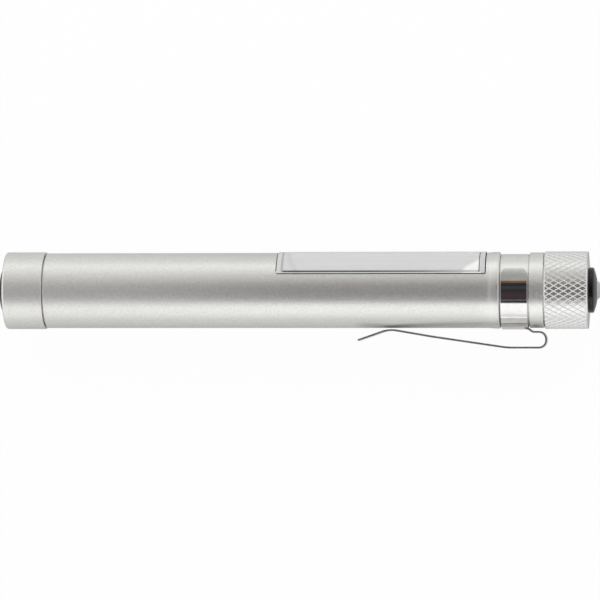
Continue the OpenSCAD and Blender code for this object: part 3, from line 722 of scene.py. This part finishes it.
# %% Painted shade in the groove and on the walls of the cover
# Places along the window, as a share of its length, and the grey of the painted shade in the groove there
GROOVE_PAINTED_SHADES = [
    (0.0, 0.5), (0.031, 0.5), (0.034, 0.07), (0.4, 0.09), (0.7, 0.2),
    (0.955, 0.6), (0.964, 0.6), (0.966, 0.03), (0.970, 0.03), (0.972, 0.65),
]


def groove_painted_shade():
    """Painted shade in the fine groove of the cover, dark at the tail's end and paler towards the head."""
    finish, tree, shader = new_finish("groove_painted_shade", (0.05, 0.05, 0.048), 0.5)
    stops = [(position, (shade, shade, 0.97 * shade, 1)) for position, shade in GROOVE_PAINTED_SHADES]
    ramp = colour_ramp(tree, along_x(tree, WINDOW_FROM, WINDOW_TO, "LINEAR"), stops)
    feed(tree, shader.inputs, {"Base Color": ramp["Color"]})
    return finish


# The cover's end and side walls, painted near black as the shade in the gap round the cover.
def gap_painted_shade():
    finish, tree, shader = new_finish("gap_painted_shade", (0.03, 0.03, 0.029), 0.55)
    mottle(tree, shader, specks(tree, 0.8 * MM, stretch=(4, 1, 1)), (0.02, 0.02, 0.019), (0.06, 0.06, 0.058))
    return finish


# %% Window cover
COVER_STEPS = 24
# Places of the two finishes of painted shade in the cover's list, after the milky one
LINE = 1
GAP_SHADE = 2


def sink(bm, faces, thickness, depth):
    """Insets a region of faces, moves it by depth and returns the new ring of faces round it."""
    return bmesh.ops.inset_region(
        bm, faces=faces, thickness=thickness, depth=depth, use_boundary=True, use_even_offset=True,
    )["faces"]


def lean_of(face):
    """How far round from the top of the window the middle of a face lies."""
    middle = face.calc_center_median()
    return math.atan2(abs(middle.z), middle.y)


def window_cover():
    bm = bmesh.new()
    from_x, to_x = WINDOW_FROM + LENS_GAP, WINDOW_TO - LENS_GAP
    string_wire(bm, [(x, PAD_R) for x in (from_x, PAD_FROM, PAD_TO, to_x)])
    side = FRAME_SIDE / PAD_R
    sweep_wire(bm, LENS_HALF, [(side, 1), (2 * (LENS_HALF - side), COVER_STEPS), (side, 1)])
    face_outwards(bm)

    def on_pad(face):
        return PAD_FROM < face.calc_center_median().x < PAD_TO and lean_of(face) < LENS_HALF - side

    pad = [face for face in bm.faces if on_pad(face)]
    sink(bm, pad, LINE_WIDTH / 8, -LINE_DEPTH)
    # The ring of the groove takes the painted shade.
    for face in sink(bm, pad, LINE_WIDTH, 0):
        face.material_index = LINE
    sink(bm, pad, LINE_WIDTH / 3, LINE_DEPTH)
    print("cover radius mm:", round(max(vert.co.yz.length for vert in bm.verts) / MM, 3))
    bmesh.ops.solidify(bm, geom=bm.faces[:], thickness=LENS_WALL)
    bmesh.ops.recalc_face_normals(bm, faces=bm.faces[:])

    def on_end(face):
        return abs(face.normal.x) > 0.9 and not from_x + WELD < face.calc_center_median().x < to_x - WELD

    def on_side(face):
        outward = (face.calc_center_median() * Vector((0, 1, 1))).normalized()
        return lean_of(face) > LENS_HALF - side / 8 and abs(face.normal.dot(outward)) < 0.5

    walls = [face for face in bm.faces if on_end(face) or on_side(face)]
    # The end and side walls take the painted shade of the gap round the cover.
    for face in walls:
        face.material_index = GAP_SHADE
    print("wall faces of the cover:", len(walls))
    return bm


make_piece(
    "window_cover", window_cover(), [milky_cover(), groove_painted_shade(), gap_painted_shade()], "barrel",
    ["side_lens"],
)

# %% [markdown]
# ## The strip light under the window
#
# Behind the cover sit a pale reflector, a white board and a yellow strip of phosphor. The strip is a low
# loaf: a block whose upright edges are bevelled round and whose top rim is bevelled into a crown. The chips
# under the phosphor show as a row of darker spots, set by a wave along X.

# %% Phosphor strip
strip_low, strip_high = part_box("cob_strip")
STRIP_SIZE = strip_high - strip_low
STRIP_END_ROUND = 0.48 * STRIP_SIZE.z
STRIP_CROWN = 0.6 * STRIP_SIZE.y
CHIP_PITCH = 1.7 * MM
WAVE_PERIOD = 0.314


def phosphor():
    finish, tree, shader = new_finish("phosphor", (0.93, 0.74, 0.16), 0.45)
    place = add_node(tree, "TexCoord")["Object"]
    wave = {"Vector": place, "Scale": WAVE_PERIOD / CHIP_PITCH, "Distortion": 0.0}
    chips = add_node(tree, "TexWave", wave, bands_direction="X")["Fac"]
    colour_between(tree, shader, chips, (0.92, 0.76, 0.20), (0.80, 0.55, 0.08), (0.62, 0.9))
    relief(tree, shader, specks(tree, 0.15 * MM), 0.004 * MM)
    return finish


def round_edges(bm, edges, offset, segments):
    bmesh.ops.bevel(
        bm, geom=edges, offset=offset, offset_type="OFFSET", affect="EDGES", segments=segments, profile=0.5,
        material=-1,
    )


def rise(edge):
    """How far an edge climbs along Y."""
    return abs(edge.verts[0].co.y - edge.verts[1].co.y)


strip_bm = bmesh.new()
bmesh.ops.create_cube(strip_bm, size=1.0)
bmesh.ops.scale(strip_bm, vec=STRIP_SIZE, verts=strip_bm.verts[:])
bmesh.ops.translate(strip_bm, vec=(strip_low + strip_high) / 2, verts=strip_bm.verts[:])
round_edges(strip_bm, [edge for edge in strip_bm.edges if rise(edge) > STRIP_SIZE.y / 2], STRIP_END_ROUND, 8)
strip_top = max(strip_bm.faces, key=lambda face: face.calc_center_median().y)
round_edges(strip_bm, strip_top.edges[:], STRIP_CROWN, 4)
make_piece("phosphor_strip", strip_bm, [phosphor()], "barrel", ["cob_strip"])

# %% [markdown]
# ## The spring clip
#
# The clip is one strip of polished sheet: a C-shaped band that turns in the groove, a tab that folds out of
# its edge, a loop and a long arm. The band is a line spun part of the way round. The arm is a wire with
# rounded corners, drawn out across its width, and a bridge joins the two. The sheet's thickness comes from a
# Solidify modifier.

# %% Clip sizes
CLIP_T = 0.45 * MM
CLIP_W = 5.0 * MM
CLIP_WRAP = math.radians(123.5)
CLIP_MID_R = band_high.z - CLIP_T / 2
CLIP_CORNER = Vector((0.75, 1.3)) * MM
CLIP_STEPS_ACROSS = 8
CLIP_STEPS_ROUND = 40
LOOP_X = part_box("clip_arm")[1].x - CLIP_T / 2 - 0.2 * MM
LOOP_R = 1.6 * MM
ROOT_X = BAND_TO - 0.35 * MM
FOLD_X = ROOT_X - 0.5 * MM
LEG_Y = -BARREL_R - 0.9 * MM
FLAT_Y = -BARREL_R - 4.43 * MM
# Corners of the arm's line, from the fold to the tip, each with the radius of its bend
ARM_CORNERS = [
    (ROOT_X, -CLIP_MID_R - 0.02 * MM, 0),
    (ROOT_X + 0.35 * MM, -CLIP_MID_R - 0.04 * MM, 0.4 * MM),
    (ROOT_X + 1.35 * MM, LEG_Y, 1.0 * MM),
    (LOOP_X, LEG_Y, LOOP_R),
    (LOOP_X, FLAT_Y, LOOP_R),
    (LOOP_X - 8.8 * MM, FLAT_Y, 14 * MM),
    (LOOP_X - 25.6 * MM, -BARREL_R - 1.975 * MM, 60 * MM),
    (LOOP_X - 35.4 * MM, -BARREL_R - 0.3 * MM, 5.5 * MM),
    (LOOP_X - 42.45 * MM, -BARREL_R - 2.76 * MM, 0),
]
print("corners of the clip's arm:", len(ARM_CORNERS))

# %% Clip steel
def polished_steel():
    finish, tree, shader = new_finish("polished_steel", (0.84, 0.83, 0.82), 0.06, metal=1.0)
    vary(tree, shader, "Roughness", specks(tree, 0.6 * MM, stretch=(1, 8, 8)), 0.04, 0.09)
    mottle(tree, shader, specks(tree, 2 * MM), (0.80, 0.79, 0.78), (0.88, 0.87, 0.86))
    relief(tree, shader, specks(tree, 0.9 * MM, stretch=(1, 4, 4)), 0.0005 * MM)
    return finish


def sheared_steel():
    finish, tree, shader = new_finish("sheared_steel", (0.62, 0.61, 0.60), 0.36, metal=1.0)
    vary(tree, shader, "Roughness", specks(tree, 0.25 * MM, stretch=(3, 3, 1)), 0.28, 0.44)
    mottle(tree, shader, specks(tree, 0.4 * MM, stretch=(5, 5, 1)), (0.55, 0.54, 0.53), (0.68, 0.67, 0.66))
    return finish


# %% Helpers for the clip
def run_of_bend(before, at, after, radius):
    """How far a bend of that radius reaches along the two straights that it joins."""
    turn = (Vector(at) - Vector(before)).angle(Vector(after) - Vector(at))
    return radius * math.tan(turn / 2)


def bent_wire(corners):
    """Gives each inner corner, written as x, y and bend radius, its run along the straights."""
    points = [corners[0][:2]]
    for before, at, after in zip(corners, corners[1:], corners[2:]):
        points.append((*at[:2], run_of_bend(before[:2], at[:2], after[:2], at[2])))
    return points + [corners[-1][:2]]


def trim_corner(bm, end, edge_x, way):
    """Cuts one corner off the band, at one of its ends and on the edge at edge_x."""
    foot = Vector((0, -CLIP_MID_R, 0))
    spot = Matrix.Rotation(-end * (CLIP_WRAP - CLIP_CORNER.y / CLIP_MID_R), 3, "X") @ foot
    around = Matrix.Rotation(-end * CLIP_WRAP, 3, "X") @ Vector((0, 0, end))

    def near_end(face):
        middle = face.calc_center_median()
        return middle.z * end > 0 and middle.y > 0

    near = [face for face in bm.faces if near_end(face)]
    parts = set(near) | {edge for face in near for edge in face.edges}
    parts |= {vert for face in near for vert in face.verts}
    slant = Vector((way * CLIP_CORNER.y, 0, 0)) + around * CLIP_CORNER.x
    cut_plane(bm, (edge_x, spot.y, spot.z), slant.normalized(), list(parts), clear_outer=True)


def draw_arm(bm):
    """Strings the arm's line and draws it out across the width of the sheet."""
    before = set(bm.edges)
    string_wire(bm, bent_wire(ARM_CORNERS))
    row = [edge for edge in bm.edges if edge not in before]
    verts = list({vert for edge in row for vert in edge.verts})
    bmesh.ops.translate(bm, vec=(0, 0, -CLIP_W / 2), verts=verts)
    for _ in range(CLIP_STEPS_ACROSS):
        made = bmesh.ops.extrude_edge_only(bm, edges=row)["geom"]
        bmesh.ops.translate(bm, vec=(0, 0, CLIP_W / CLIP_STEPS_ACROSS), verts=verts_of(made))
        row = edges_of(made)


# %% Clip
def spring_clip():
    bm = bmesh.new()
    tab_half = math.asin(CLIP_W / 2 / CLIP_MID_R)
    side = CLIP_WRAP - tab_half
    string_wire(bm, [(x, -CLIP_MID_R) for x in (BAND_FROM, FOLD_X, BAND_TO)])
    sweep_wire(
        bm, CLIP_WRAP,
        [(side, CLIP_STEPS_ROUND), (2 * tab_half, CLIP_STEPS_ACROSS), (side, CLIP_STEPS_ROUND)],
    )

    def under_tab(face):
        middle = face.calc_center_median()
        return middle.x > FOLD_X and abs(middle.z) < CLIP_W / 2 and middle.y < 0

    bmesh.ops.delete(bm, geom=[face for face in bm.faces if under_tab(face)], context="FACES")
    for end in (-1, 1):
        trim_corner(bm, end, BAND_FROM, -1)
        trim_corner(bm, end, BAND_TO, 1)
    tab_rim = rim_at(bm, FOLD_X)
    draw_arm(bm)
    bmesh.ops.bridge_loops(bm, edges=tab_rim + rim_at(bm, ROOT_X))
    bmesh.ops.remove_doubles(bm, verts=bm.verts[:], dist=WELD)
    bmesh.ops.recalc_face_normals(bm, faces=bm.faces[:])
    return bm


clip = make_piece(
    "spring_clip", spring_clip(), [polished_steel(), sheared_steel()],
    stands_for=["clip_band", "clip_arm"], crease=60, even=False,
)

# %% Sheet and eased edges of the clip
EASED_OVER = math.radians(50)

sheet = clip.modifiers.new("sheet", "SOLIDIFY")
sheet.thickness = CLIP_T
sheet.offset = 0
sheet.use_even_offset = True
sheet.material_offset_rim = 1
eased = clip.modifiers.new("eased_edges", "BEVEL")
eased.width = EASE
eased.segments = 2
eased.limit_method = "ANGLE"
eased.harden_normals = True
eased.angle_limit = EASED_OVER
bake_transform(clip)

# %% [markdown]
# ## The knurled bezel
#
# A diamond knurl is two sets of helical grooves that cross. Cutting them with solids is slow and messy. Here
# a ruled tube is poked, so that every cell has a middle, and the ruled edges are dissolved, which leaves only
# diamonds. One inset of each diamond then raises its flat top and leaves a V-groove all round it.

# %% Bezel sizes
KNURL_STARTS = 45
KNURL_PITCH = 2.14 * MM
KNURL_DEPTH = 0.075 * MM
KNURL_FLANK = 0.108 * MM
BEZEL_R = bezel_high.y - 0.06 * MM
VALLEY_R = BEZEL_R - KNURL_DEPTH
RING_R = BEZEL_R - 0.04 * MM
RIM_X = bezel_high.x - 0.4 * MM
FRONT_FROM_X = RIM_X - 0.1 * MM
KNURL_FROM = bezel_low.x + 0.16 * MM
KNURL_TO = RIM_X - 0.32 * MM
SEAT_X = RIM_X - 2.3 * MM
HOLDER_R = 5.1 * MM
HOLDER_HOLE_R = HOLDER_R + 0.15 * MM
# Half sections of the bezel on from the knurl's two ends, as an x and a radius
BEZEL_FRONT = [
    (KNURL_TO + 0.06 * MM, RING_R - 0.02 * MM),
    (KNURL_TO + 0.09 * MM, RING_R),
    (RIM_X - 0.14 * MM, RING_R),
    (RIM_X - 0.04 * MM, RING_R - 0.04 * MM),
    (RIM_X, RING_R - 0.14 * MM),
    (bezel_high.x - 0.12 * MM, HOLDER_HOLE_R + 0.1 * MM),
    (bezel_high.x - 0.2 * MM, HOLDER_HOLE_R),
    (SEAT_X, HOLDER_HOLE_R),
    (SEAT_X, CAP_BORE_R),
]
BEZEL_BACK = [
    (bezel_low.x + 0.04 * MM, VALLEY_R - 0.1 * MM),
    (bezel_low.x, VALLEY_R - 0.2 * MM),
    (bezel_low.x, CAP_BORE_R),
]
print("knurl mm:", round((KNURL_TO - KNURL_FROM) / MM, 2), "long")

# %% Knurl and rims
def knurl_skin(bm, radius):
    """Makes a tube of raised diamonds, trimmed square at both ends."""
    first_x = KNURL_FROM - KNURL_PITCH / 2
    rows = math.ceil((KNURL_TO - first_x) / KNURL_PITCH)
    string_wire(bm, [(first_x + KNURL_PITCH * count, radius) for count in range(rows + 1)])
    turn_wire(bm, steps=KNURL_STARTS)
    face_outwards(bm)
    ruled = [edge for edge in bm.edges if not edge.is_boundary]
    sag = radius * (1 - math.cos(math.pi / KNURL_STARTS))
    bmesh.ops.poke(bm, faces=bm.faces[:], offset=sag, center_mode="MEAN")
    bmesh.ops.dissolve_edges(bm, edges=ruled, use_verts=False)
    cut_plane(bm, (KNURL_FROM, 0, 0), (-1, 0, 0), clear_outer=True)
    cut_plane(bm, (KNURL_TO, 0, 0), (1, 0, 0), clear_outer=True)
    bmesh.ops.inset_individual(
        bm, faces=bm.faces[:], thickness=KNURL_FLANK, depth=KNURL_DEPTH, use_even_offset=True,
    )


def carry_rim(bm, start, points):
    """Draws the open rim at start, an x and a radius, on through points of the half section."""
    at_x, at_r = start
    rim = rim_at(bm, at_x)
    for x, radius in points:
        made = bmesh.ops.extrude_edge_only(bm, edges=rim)["geom"]
        rim = edges_of(made)
        bmesh.ops.scale(bm, vec=(1, radius / at_r, radius / at_r), verts=verts_of(made))
        bmesh.ops.translate(bm, vec=(x - at_x, 0, 0), verts=verts_of(made))
        at_x, at_r = x, radius
    return rim


# %% Bezel
def knurled_bezel():
    bm = bmesh.new()
    knurl_skin(bm, VALLEY_R)
    front_end = carry_rim(bm, (KNURL_TO, VALLEY_R), BEZEL_FRONT)
    back_end = carry_rim(bm, (KNURL_FROM, VALLEY_R), BEZEL_BACK)
    bmesh.ops.bridge_loops(bm, edges=front_end + back_end)
    bmesh.ops.recalc_face_normals(bm, faces=bm.faces[:])
    for face in bm.faces:
        face.material_index = int(face.calc_center_median().x > FRONT_FROM_X)
    print("open edges of the bezel:", sum(edge.is_boundary for edge in bm.edges))
    return bm


make_piece(
    "knurled_bezel", knurled_bezel(), [bezel_finish, turned_aluminium_painted_shade()], "bezel", ["bezel"],
    crease=28,
)

# %% [markdown]
# ## The holder and the LED
#
# The black holder is a turned nose with a shallow dome. The LED is a pale cast bullet with a foot, so hazy
# that only its outline shows. Both are half sections that begin with an arc about a centre on the axis.

# %% Holder and LED sizes
HOLDER_DOME_R = 14 * MM
HOLDER_DOME_SHARE = 0.955
HOLDER_RIM_DROP = 0.02 * MM
HOLDER_RIM_ROUND = 0.2 * MM
LED_R = 2.5 * MM
LED_FOOT_R = led_high.z
LED_FOOT = 1.0 * MM
LED_STEPS = 64
LED_BORE_R = LED_R + SLIP_GAP
LED_SEAT_R = LED_BORE_R + 0.4 * MM
LED_SEAT_X = holder_low.x + LED_FOOT + SLIP_GAP
NOSE_X = RIM_X + 1.1 * MM
SKIRT_R = BORE_R - 0.3 * MM
FLANGE_TO = SEAT_X - SLIP_GAP
FLANGE_FROM = FLANGE_TO - 1.5 * MM
print("holder stands out by", round((NOSE_X - RIM_X) / MM, 2), "mm")

# %% Holder
def holder_nose():
    bm = bmesh.new()
    dome_middle = NOSE_X - math.sqrt(HOLDER_DOME_R ** 2 - HOLDER_R ** 2)
    lip = math.asin(LED_BORE_R / HOLDER_DOME_R)
    side = math.asin(HOLDER_DOME_SHARE * HOLDER_R / HOLDER_DOME_R)
    top = bm.verts.new((dome_middle + HOLDER_DOME_R * math.cos(lip), LED_BORE_R, 0))
    dome_edge = string_arc(bm, top, dome_middle, side - lip)
    rest_of_section = [
        (NOSE_X - HOLDER_RIM_DROP, HOLDER_R, HOLDER_RIM_ROUND),
        (FLANGE_TO, HOLDER_R),
        (FLANGE_TO, holder_high.y, EDGE),
        (FLANGE_FROM, holder_high.y, EDGE),
        (FLANGE_FROM, SKIRT_R),
        (holder_low.x, SKIRT_R),
        (holder_low.x, LED_SEAT_R),
        (LED_SEAT_X, LED_SEAT_R),
        (LED_SEAT_X, LED_BORE_R),
    ]
    last = string_wire(bm, rest_of_section, start=dome_edge)
    bm.edges.new((last, top))
    turn_wire(bm)
    return bm


holder_finish = black_plastic("holder_black", 0.28, shine=0.45)
make_piece("holder_nose", holder_nose(), [holder_finish], "light_module", ["led_holder"])

# %% LED
def led_bullet():
    bm = bmesh.new()
    tip = bm.verts.new((led_high.x, 0, 0))
    side = string_arc(bm, tip, led_high.x - LED_R, math.pi / 2, steps=16)
    rest_of_section = [
        (led_low.x + LED_FOOT, LED_R),
        (led_low.x + LED_FOOT, LED_FOOT_R, EDGE),
        (led_low.x, LED_FOOT_R, EDGE),
        (led_low.x, 0),
    ]
    string_wire(bm, rest_of_section, start=side)
    turn_wire(bm, steps=LED_STEPS)
    return bm


def clear_epoxy():
    finish, tree, shader = new_finish(
        "clear_epoxy", (0.93, 0.935, 0.93), 0.08, sockets={"Transmission Weight": 0.35, "IOR": 1.5},
    )
    vary(tree, shader, "Roughness", specks(tree, 1.2 * MM), 0.05, 0.11)
    relief(tree, shader, specks(tree, 2.0 * MM), 0.002 * MM)
    return finish


make_piece("led_bullet", led_bullet(), [clear_epoxy()], "light_module", ["led"])

# %% [markdown]
# ## Finishes for the pieces inside
#
# The solids that stay inside the tube keep their shapes. Each gets a finish of its own kind: moulded plastic,
# circuit board, brass, drawn wire, rubber or a cell's printed can.

# %% Inner finishes
def plain_finish(name, dark, light, rough, metal=0.0, size=0.6 * MM, height=0.003 * MM, stretch=(1, 1, 1)):
    """A finish with specks that move its colour, its shine and its relief."""
    finish, tree, shader = new_finish(name, light, rough, metal)
    mottle(tree, shader, specks(tree, size, stretch), dark, light)
    vary(tree, shader, "Roughness", specks(tree, 1.7 * size, stretch), rough - 0.07, rough + 0.07)
    relief(tree, shader, specks(tree, 0.4 * size, stretch), height)
    return finish


DRAWN = (1, 30, 30)
inner_finishes = {
    plain_finish("reflector_white", (0.84, 0.84, 0.83), (0.90, 0.90, 0.89), 0.28): ["cob_reflector"],
    plain_finish("board_white", (0.86, 0.86, 0.84), (0.92, 0.92, 0.90), 0.5): ["cob_board"],
    plain_finish("copper_foil", (0.66, 0.36, 0.22), (0.78, 0.46, 0.30), 0.3, 1.0): ["cob_leads"],
    plain_finish("liner_grey", (0.05, 0.05, 0.055), (0.08, 0.08, 0.085), 0.5): ["battery_liner"],
    plain_finish("cell_print", (0.03, 0.07, 0.15), (0.05, 0.10, 0.20), 0.35, 0.3, stretch=DRAWN):
        ["cell_rear", "cell_front"],
    plain_finish("brass", (0.70, 0.50, 0.20), (0.82, 0.62, 0.28), 0.25, 1.0):
        ["positive_contact", "spring_pad", "retaining_ring", "moving_contact", "fixed_contacts"],
    plain_finish("plug_white", (0.80, 0.80, 0.77), (0.88, 0.88, 0.85), 0.5):
        ["contact_plug", "switch_plunger"],
    plain_finish("board_green", (0.015, 0.13, 0.06), (0.03, 0.19, 0.09), 0.4):
        ["driver_board", "switch_board", "led_board"],
    plain_finish("chip_black", (0.010, 0.010, 0.012), (0.022, 0.022, 0.025), 0.5): ["driver_chips"],
    plain_finish("spring_wire", (0.60, 0.60, 0.60), (0.74, 0.74, 0.74), 0.25, 1.0, stretch=DRAWN):
        ["head_spring", "switch_spring", "battery_spring", "led_leads"],
    plain_finish("ring_rubber", (0.010, 0.010, 0.010), (0.020, 0.020, 0.020), 0.6):
        ["head_o_ring", "tail_o_ring"],
    plain_finish("switch_black", (0.020, 0.020, 0.022), (0.035, 0.035, 0.038), 0.45): ["switch_housing"],
}
for finish, names in inner_finishes.items():
    for name in names:
        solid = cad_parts[name]
        solid.data.materials.clear()
        solid.data.materials.append(finish)
print("inner solids with a finish:", sum(len(names) for names in inner_finishes.values()))

# %% [markdown]
# ## The set
#
# A pale floor, a sky that is bright low down and dark straight overhead, and a soft lamp on the window's
# side. Polished and satin metal show what stands round them, so the dark patch overhead gives the clip its
# black stripe and the barrel its grey middle. The lamp is left out of reflections: it mostly lifts the
# milky cover. The floor and the sky are white to the camera, and the floor keeps a soft shadow.

# %% Floor
FLOOR_HALF = 4.0
floor_bm = bmesh.new()
bmesh.ops.create_grid(floor_bm, x_segments=1, y_segments=1, size=FLOOR_HALF)
bmesh.ops.translate(floor_bm, vec=(0, 0, cad_low.z), verts=floor_bm.verts[:])
floor_mesh = bpy.data.meshes.new("floor")
floor_bm.to_mesh(floor_mesh)
floor_bm.free()
floor = add_object("floor", floor_mesh)
print("floor at", round(cad_low.z / MM, 2), "mm")

# %% Floor finish
FLOOR_WHITE = 0.88
FLOOR_GLOW = 1.096
PAPER_GREY = (0.3, 0.3, 0.3, 1)
METAL_SHARE = 0.5
DULL_SHARE = 0.4

floor_finish = bpy.data.materials.new("floor_white")
floor_finish.use_nodes = True
floor_tree = floor_finish.node_tree
floor_tree.nodes.clear()
paper = add_node(floor_tree, "BsdfDiffuse", {"Color": PAPER_GREY})
glow = add_node(floor_tree, "Emission", {"Strength": FLOOR_GLOW})
rays = add_node(floor_tree, "LightPath")
glowing = calculate(floor_tree, "MULTIPLY_ADD", rays["Is Glossy Ray"], METAL_SHARE, rays["Is Camera Ray"])
glowing = calculate(floor_tree, "ADD", glowing, rays["Is Transmission Ray"], clamp=True)
glowing = calculate(floor_tree, "MULTIPLY_ADD", rays["Is Diffuse Ray"], DULL_SHARE, glowing)
share = calculate(floor_tree, "MULTIPLY", glowing, FLOOR_WHITE)
surface = add_node(floor_tree, "MixShader", {0: share, 1: paper[0], 2: glow[0]})
add_node(floor_tree, "OutputMaterial", {"Surface": surface[0]})
floor_mesh.materials.append(floor_finish)
print("floor finish:", floor_finish.name)

# %% Sky colours
SKY_STRENGTH = 1.42
# Colours across the sky, at angles from straight up in degrees: the clip's side is below 0
SKY_STOPS = [
    (-90, (0.53, 0.53, 0.53)),
    (-82, (0.74, 0.74, 0.74)),
    (-71, (1.07, 1.07, 1.07)),
    (-61, (1.17, 1.17, 1.17)),
    (-40.8, (1.17, 1.17, 1.17)),
    (-37.4, (0.04, 0.04, 0.042)),
    (-31.2, (0.045, 0.035, 0.04)),
    (-29.8, (0.3, 0.28, 0.3)),
    (-28.4, (0.045, 0.035, 0.04)),
    (-14, (0.06, 0.04, 0.045)),
    (0, (0.03, 0.03, 0.032)),
    (7, (0.05, 0.055, 0.065)),
    (14, (0.03, 0.03, 0.032)),
    (19.5, (0.03, 0.028, 0.025)),
    (22, (0.19, 0.11, 0.06)),
    (26.8, (0.19, 0.11, 0.06)),
    (27.8, (0.44, 0.38, 0.33)),
    (29, (0.38, 0.38, 0.37)),
    (45, (0.39, 0.39, 0.38)),
    (58, (0.53, 0.53, 0.52)),
    (74, (0.96, 0.96, 0.95)),
    (84, (1.2, 1.2, 1.19)),
]
# Grey of the sky beyond the two ends of the light, and how far it covers the rest, from tail to head
END_STOPS = [(-42, 1.1, 1), (-14, 1.1, 0), (14, 0.8, 0), (40, 0.8, 1)]
print("sky stops:", len(SKY_STOPS), "across and", len(END_STOPS), "along")

# %% Sky
def sky_colour(colour, alpha=1):
    return (*[part / SKY_STRENGTH for part in colour], alpha)


def lean_ramp(tree, sideways, upwards, stops):
    """A ramp along how far a direction leans over from straight up, with stops at angles in degrees."""
    lean = calculate(tree, "ARCTAN2", sideways, upwards)
    limits = {"Value": lean, "From Min": -math.pi / 2, "From Max": math.pi / 2}
    place = add_node(tree, "MapRange", limits)["Result"]
    return colour_ramp(tree, place, [((angle + 90) / 180, colour) for angle, colour in stops])


sky = bpy.data.worlds.new("sky")
bpy.context.scene.world = sky
sky.use_nodes = True
sky_tree = sky.node_tree
direction = add_node(sky_tree, "TexCoord")["Generated"]
way_x, way_y, way_z = add_node(sky_tree, "SeparateXYZ", {"Vector": direction})
across_stops = [(angle, sky_colour(colour)) for angle, colour in SKY_STOPS]
end_stops = [(angle, sky_colour([level] * 3, share)) for angle, level, share in END_STOPS]
across_sky = lean_ramp(sky_tree, way_y, way_z, across_stops)
end_sky = lean_ramp(sky_tree, way_x, way_z, end_stops)
with_ends = {"Fac": end_sky["Alpha"], "Color1": across_sky["Color"], "Color2": end_sky["Color"]}
whole_sky = add_node(sky_tree, "MixRGB", with_ends)["Color"]
to_camera = add_node(sky_tree, "LightPath")["Is Camera Ray"]
white_sky = {"Fac": to_camera, "Color1": whole_sky, "Color2": sky_colour([1, 1, 1])}
seen = add_node(sky_tree, "MixRGB", white_sky)["Color"]
feed(sky_tree, sky_tree.nodes["Background"].inputs, {"Strength": SKY_STRENGTH, "Color": seen})
print("world:", sky.name)

# %% Fill lamp
FILL_LEAN = math.radians(60)
FILL_DISTANCE = 1.0
FILL_LENGTH = 1.6
FILL_HEIGHT = 0.8
FILL_LEVEL = 1.15

way = Vector((0, math.sin(FILL_LEAN), math.cos(FILL_LEAN)))
fill_data = bpy.data.lights.new("fill", "AREA")
fill_data.shape = "RECTANGLE"
fill_data.size = FILL_LENGTH
fill_data.size_y = FILL_HEIGHT
fill_data.energy = FILL_LEVEL * math.pi * FILL_LENGTH * FILL_HEIGHT
fill = add_object("fill", fill_data)
fill.matrix_world = stand_back(Vector((VIEW_TARGET.x, 0, 0)), way, FILL_DISTANCE)
fill.visible_camera = False
fill.visible_glossy = False
print("fill lamp at", [round(value, 2) for value in fill.location])

# %% [markdown]
# ## The view
#
# Colours are shown as they are written, so the view transform is Standard.

# %% View transform
bpy.context.scene.view_settings.view_transform = "Standard"
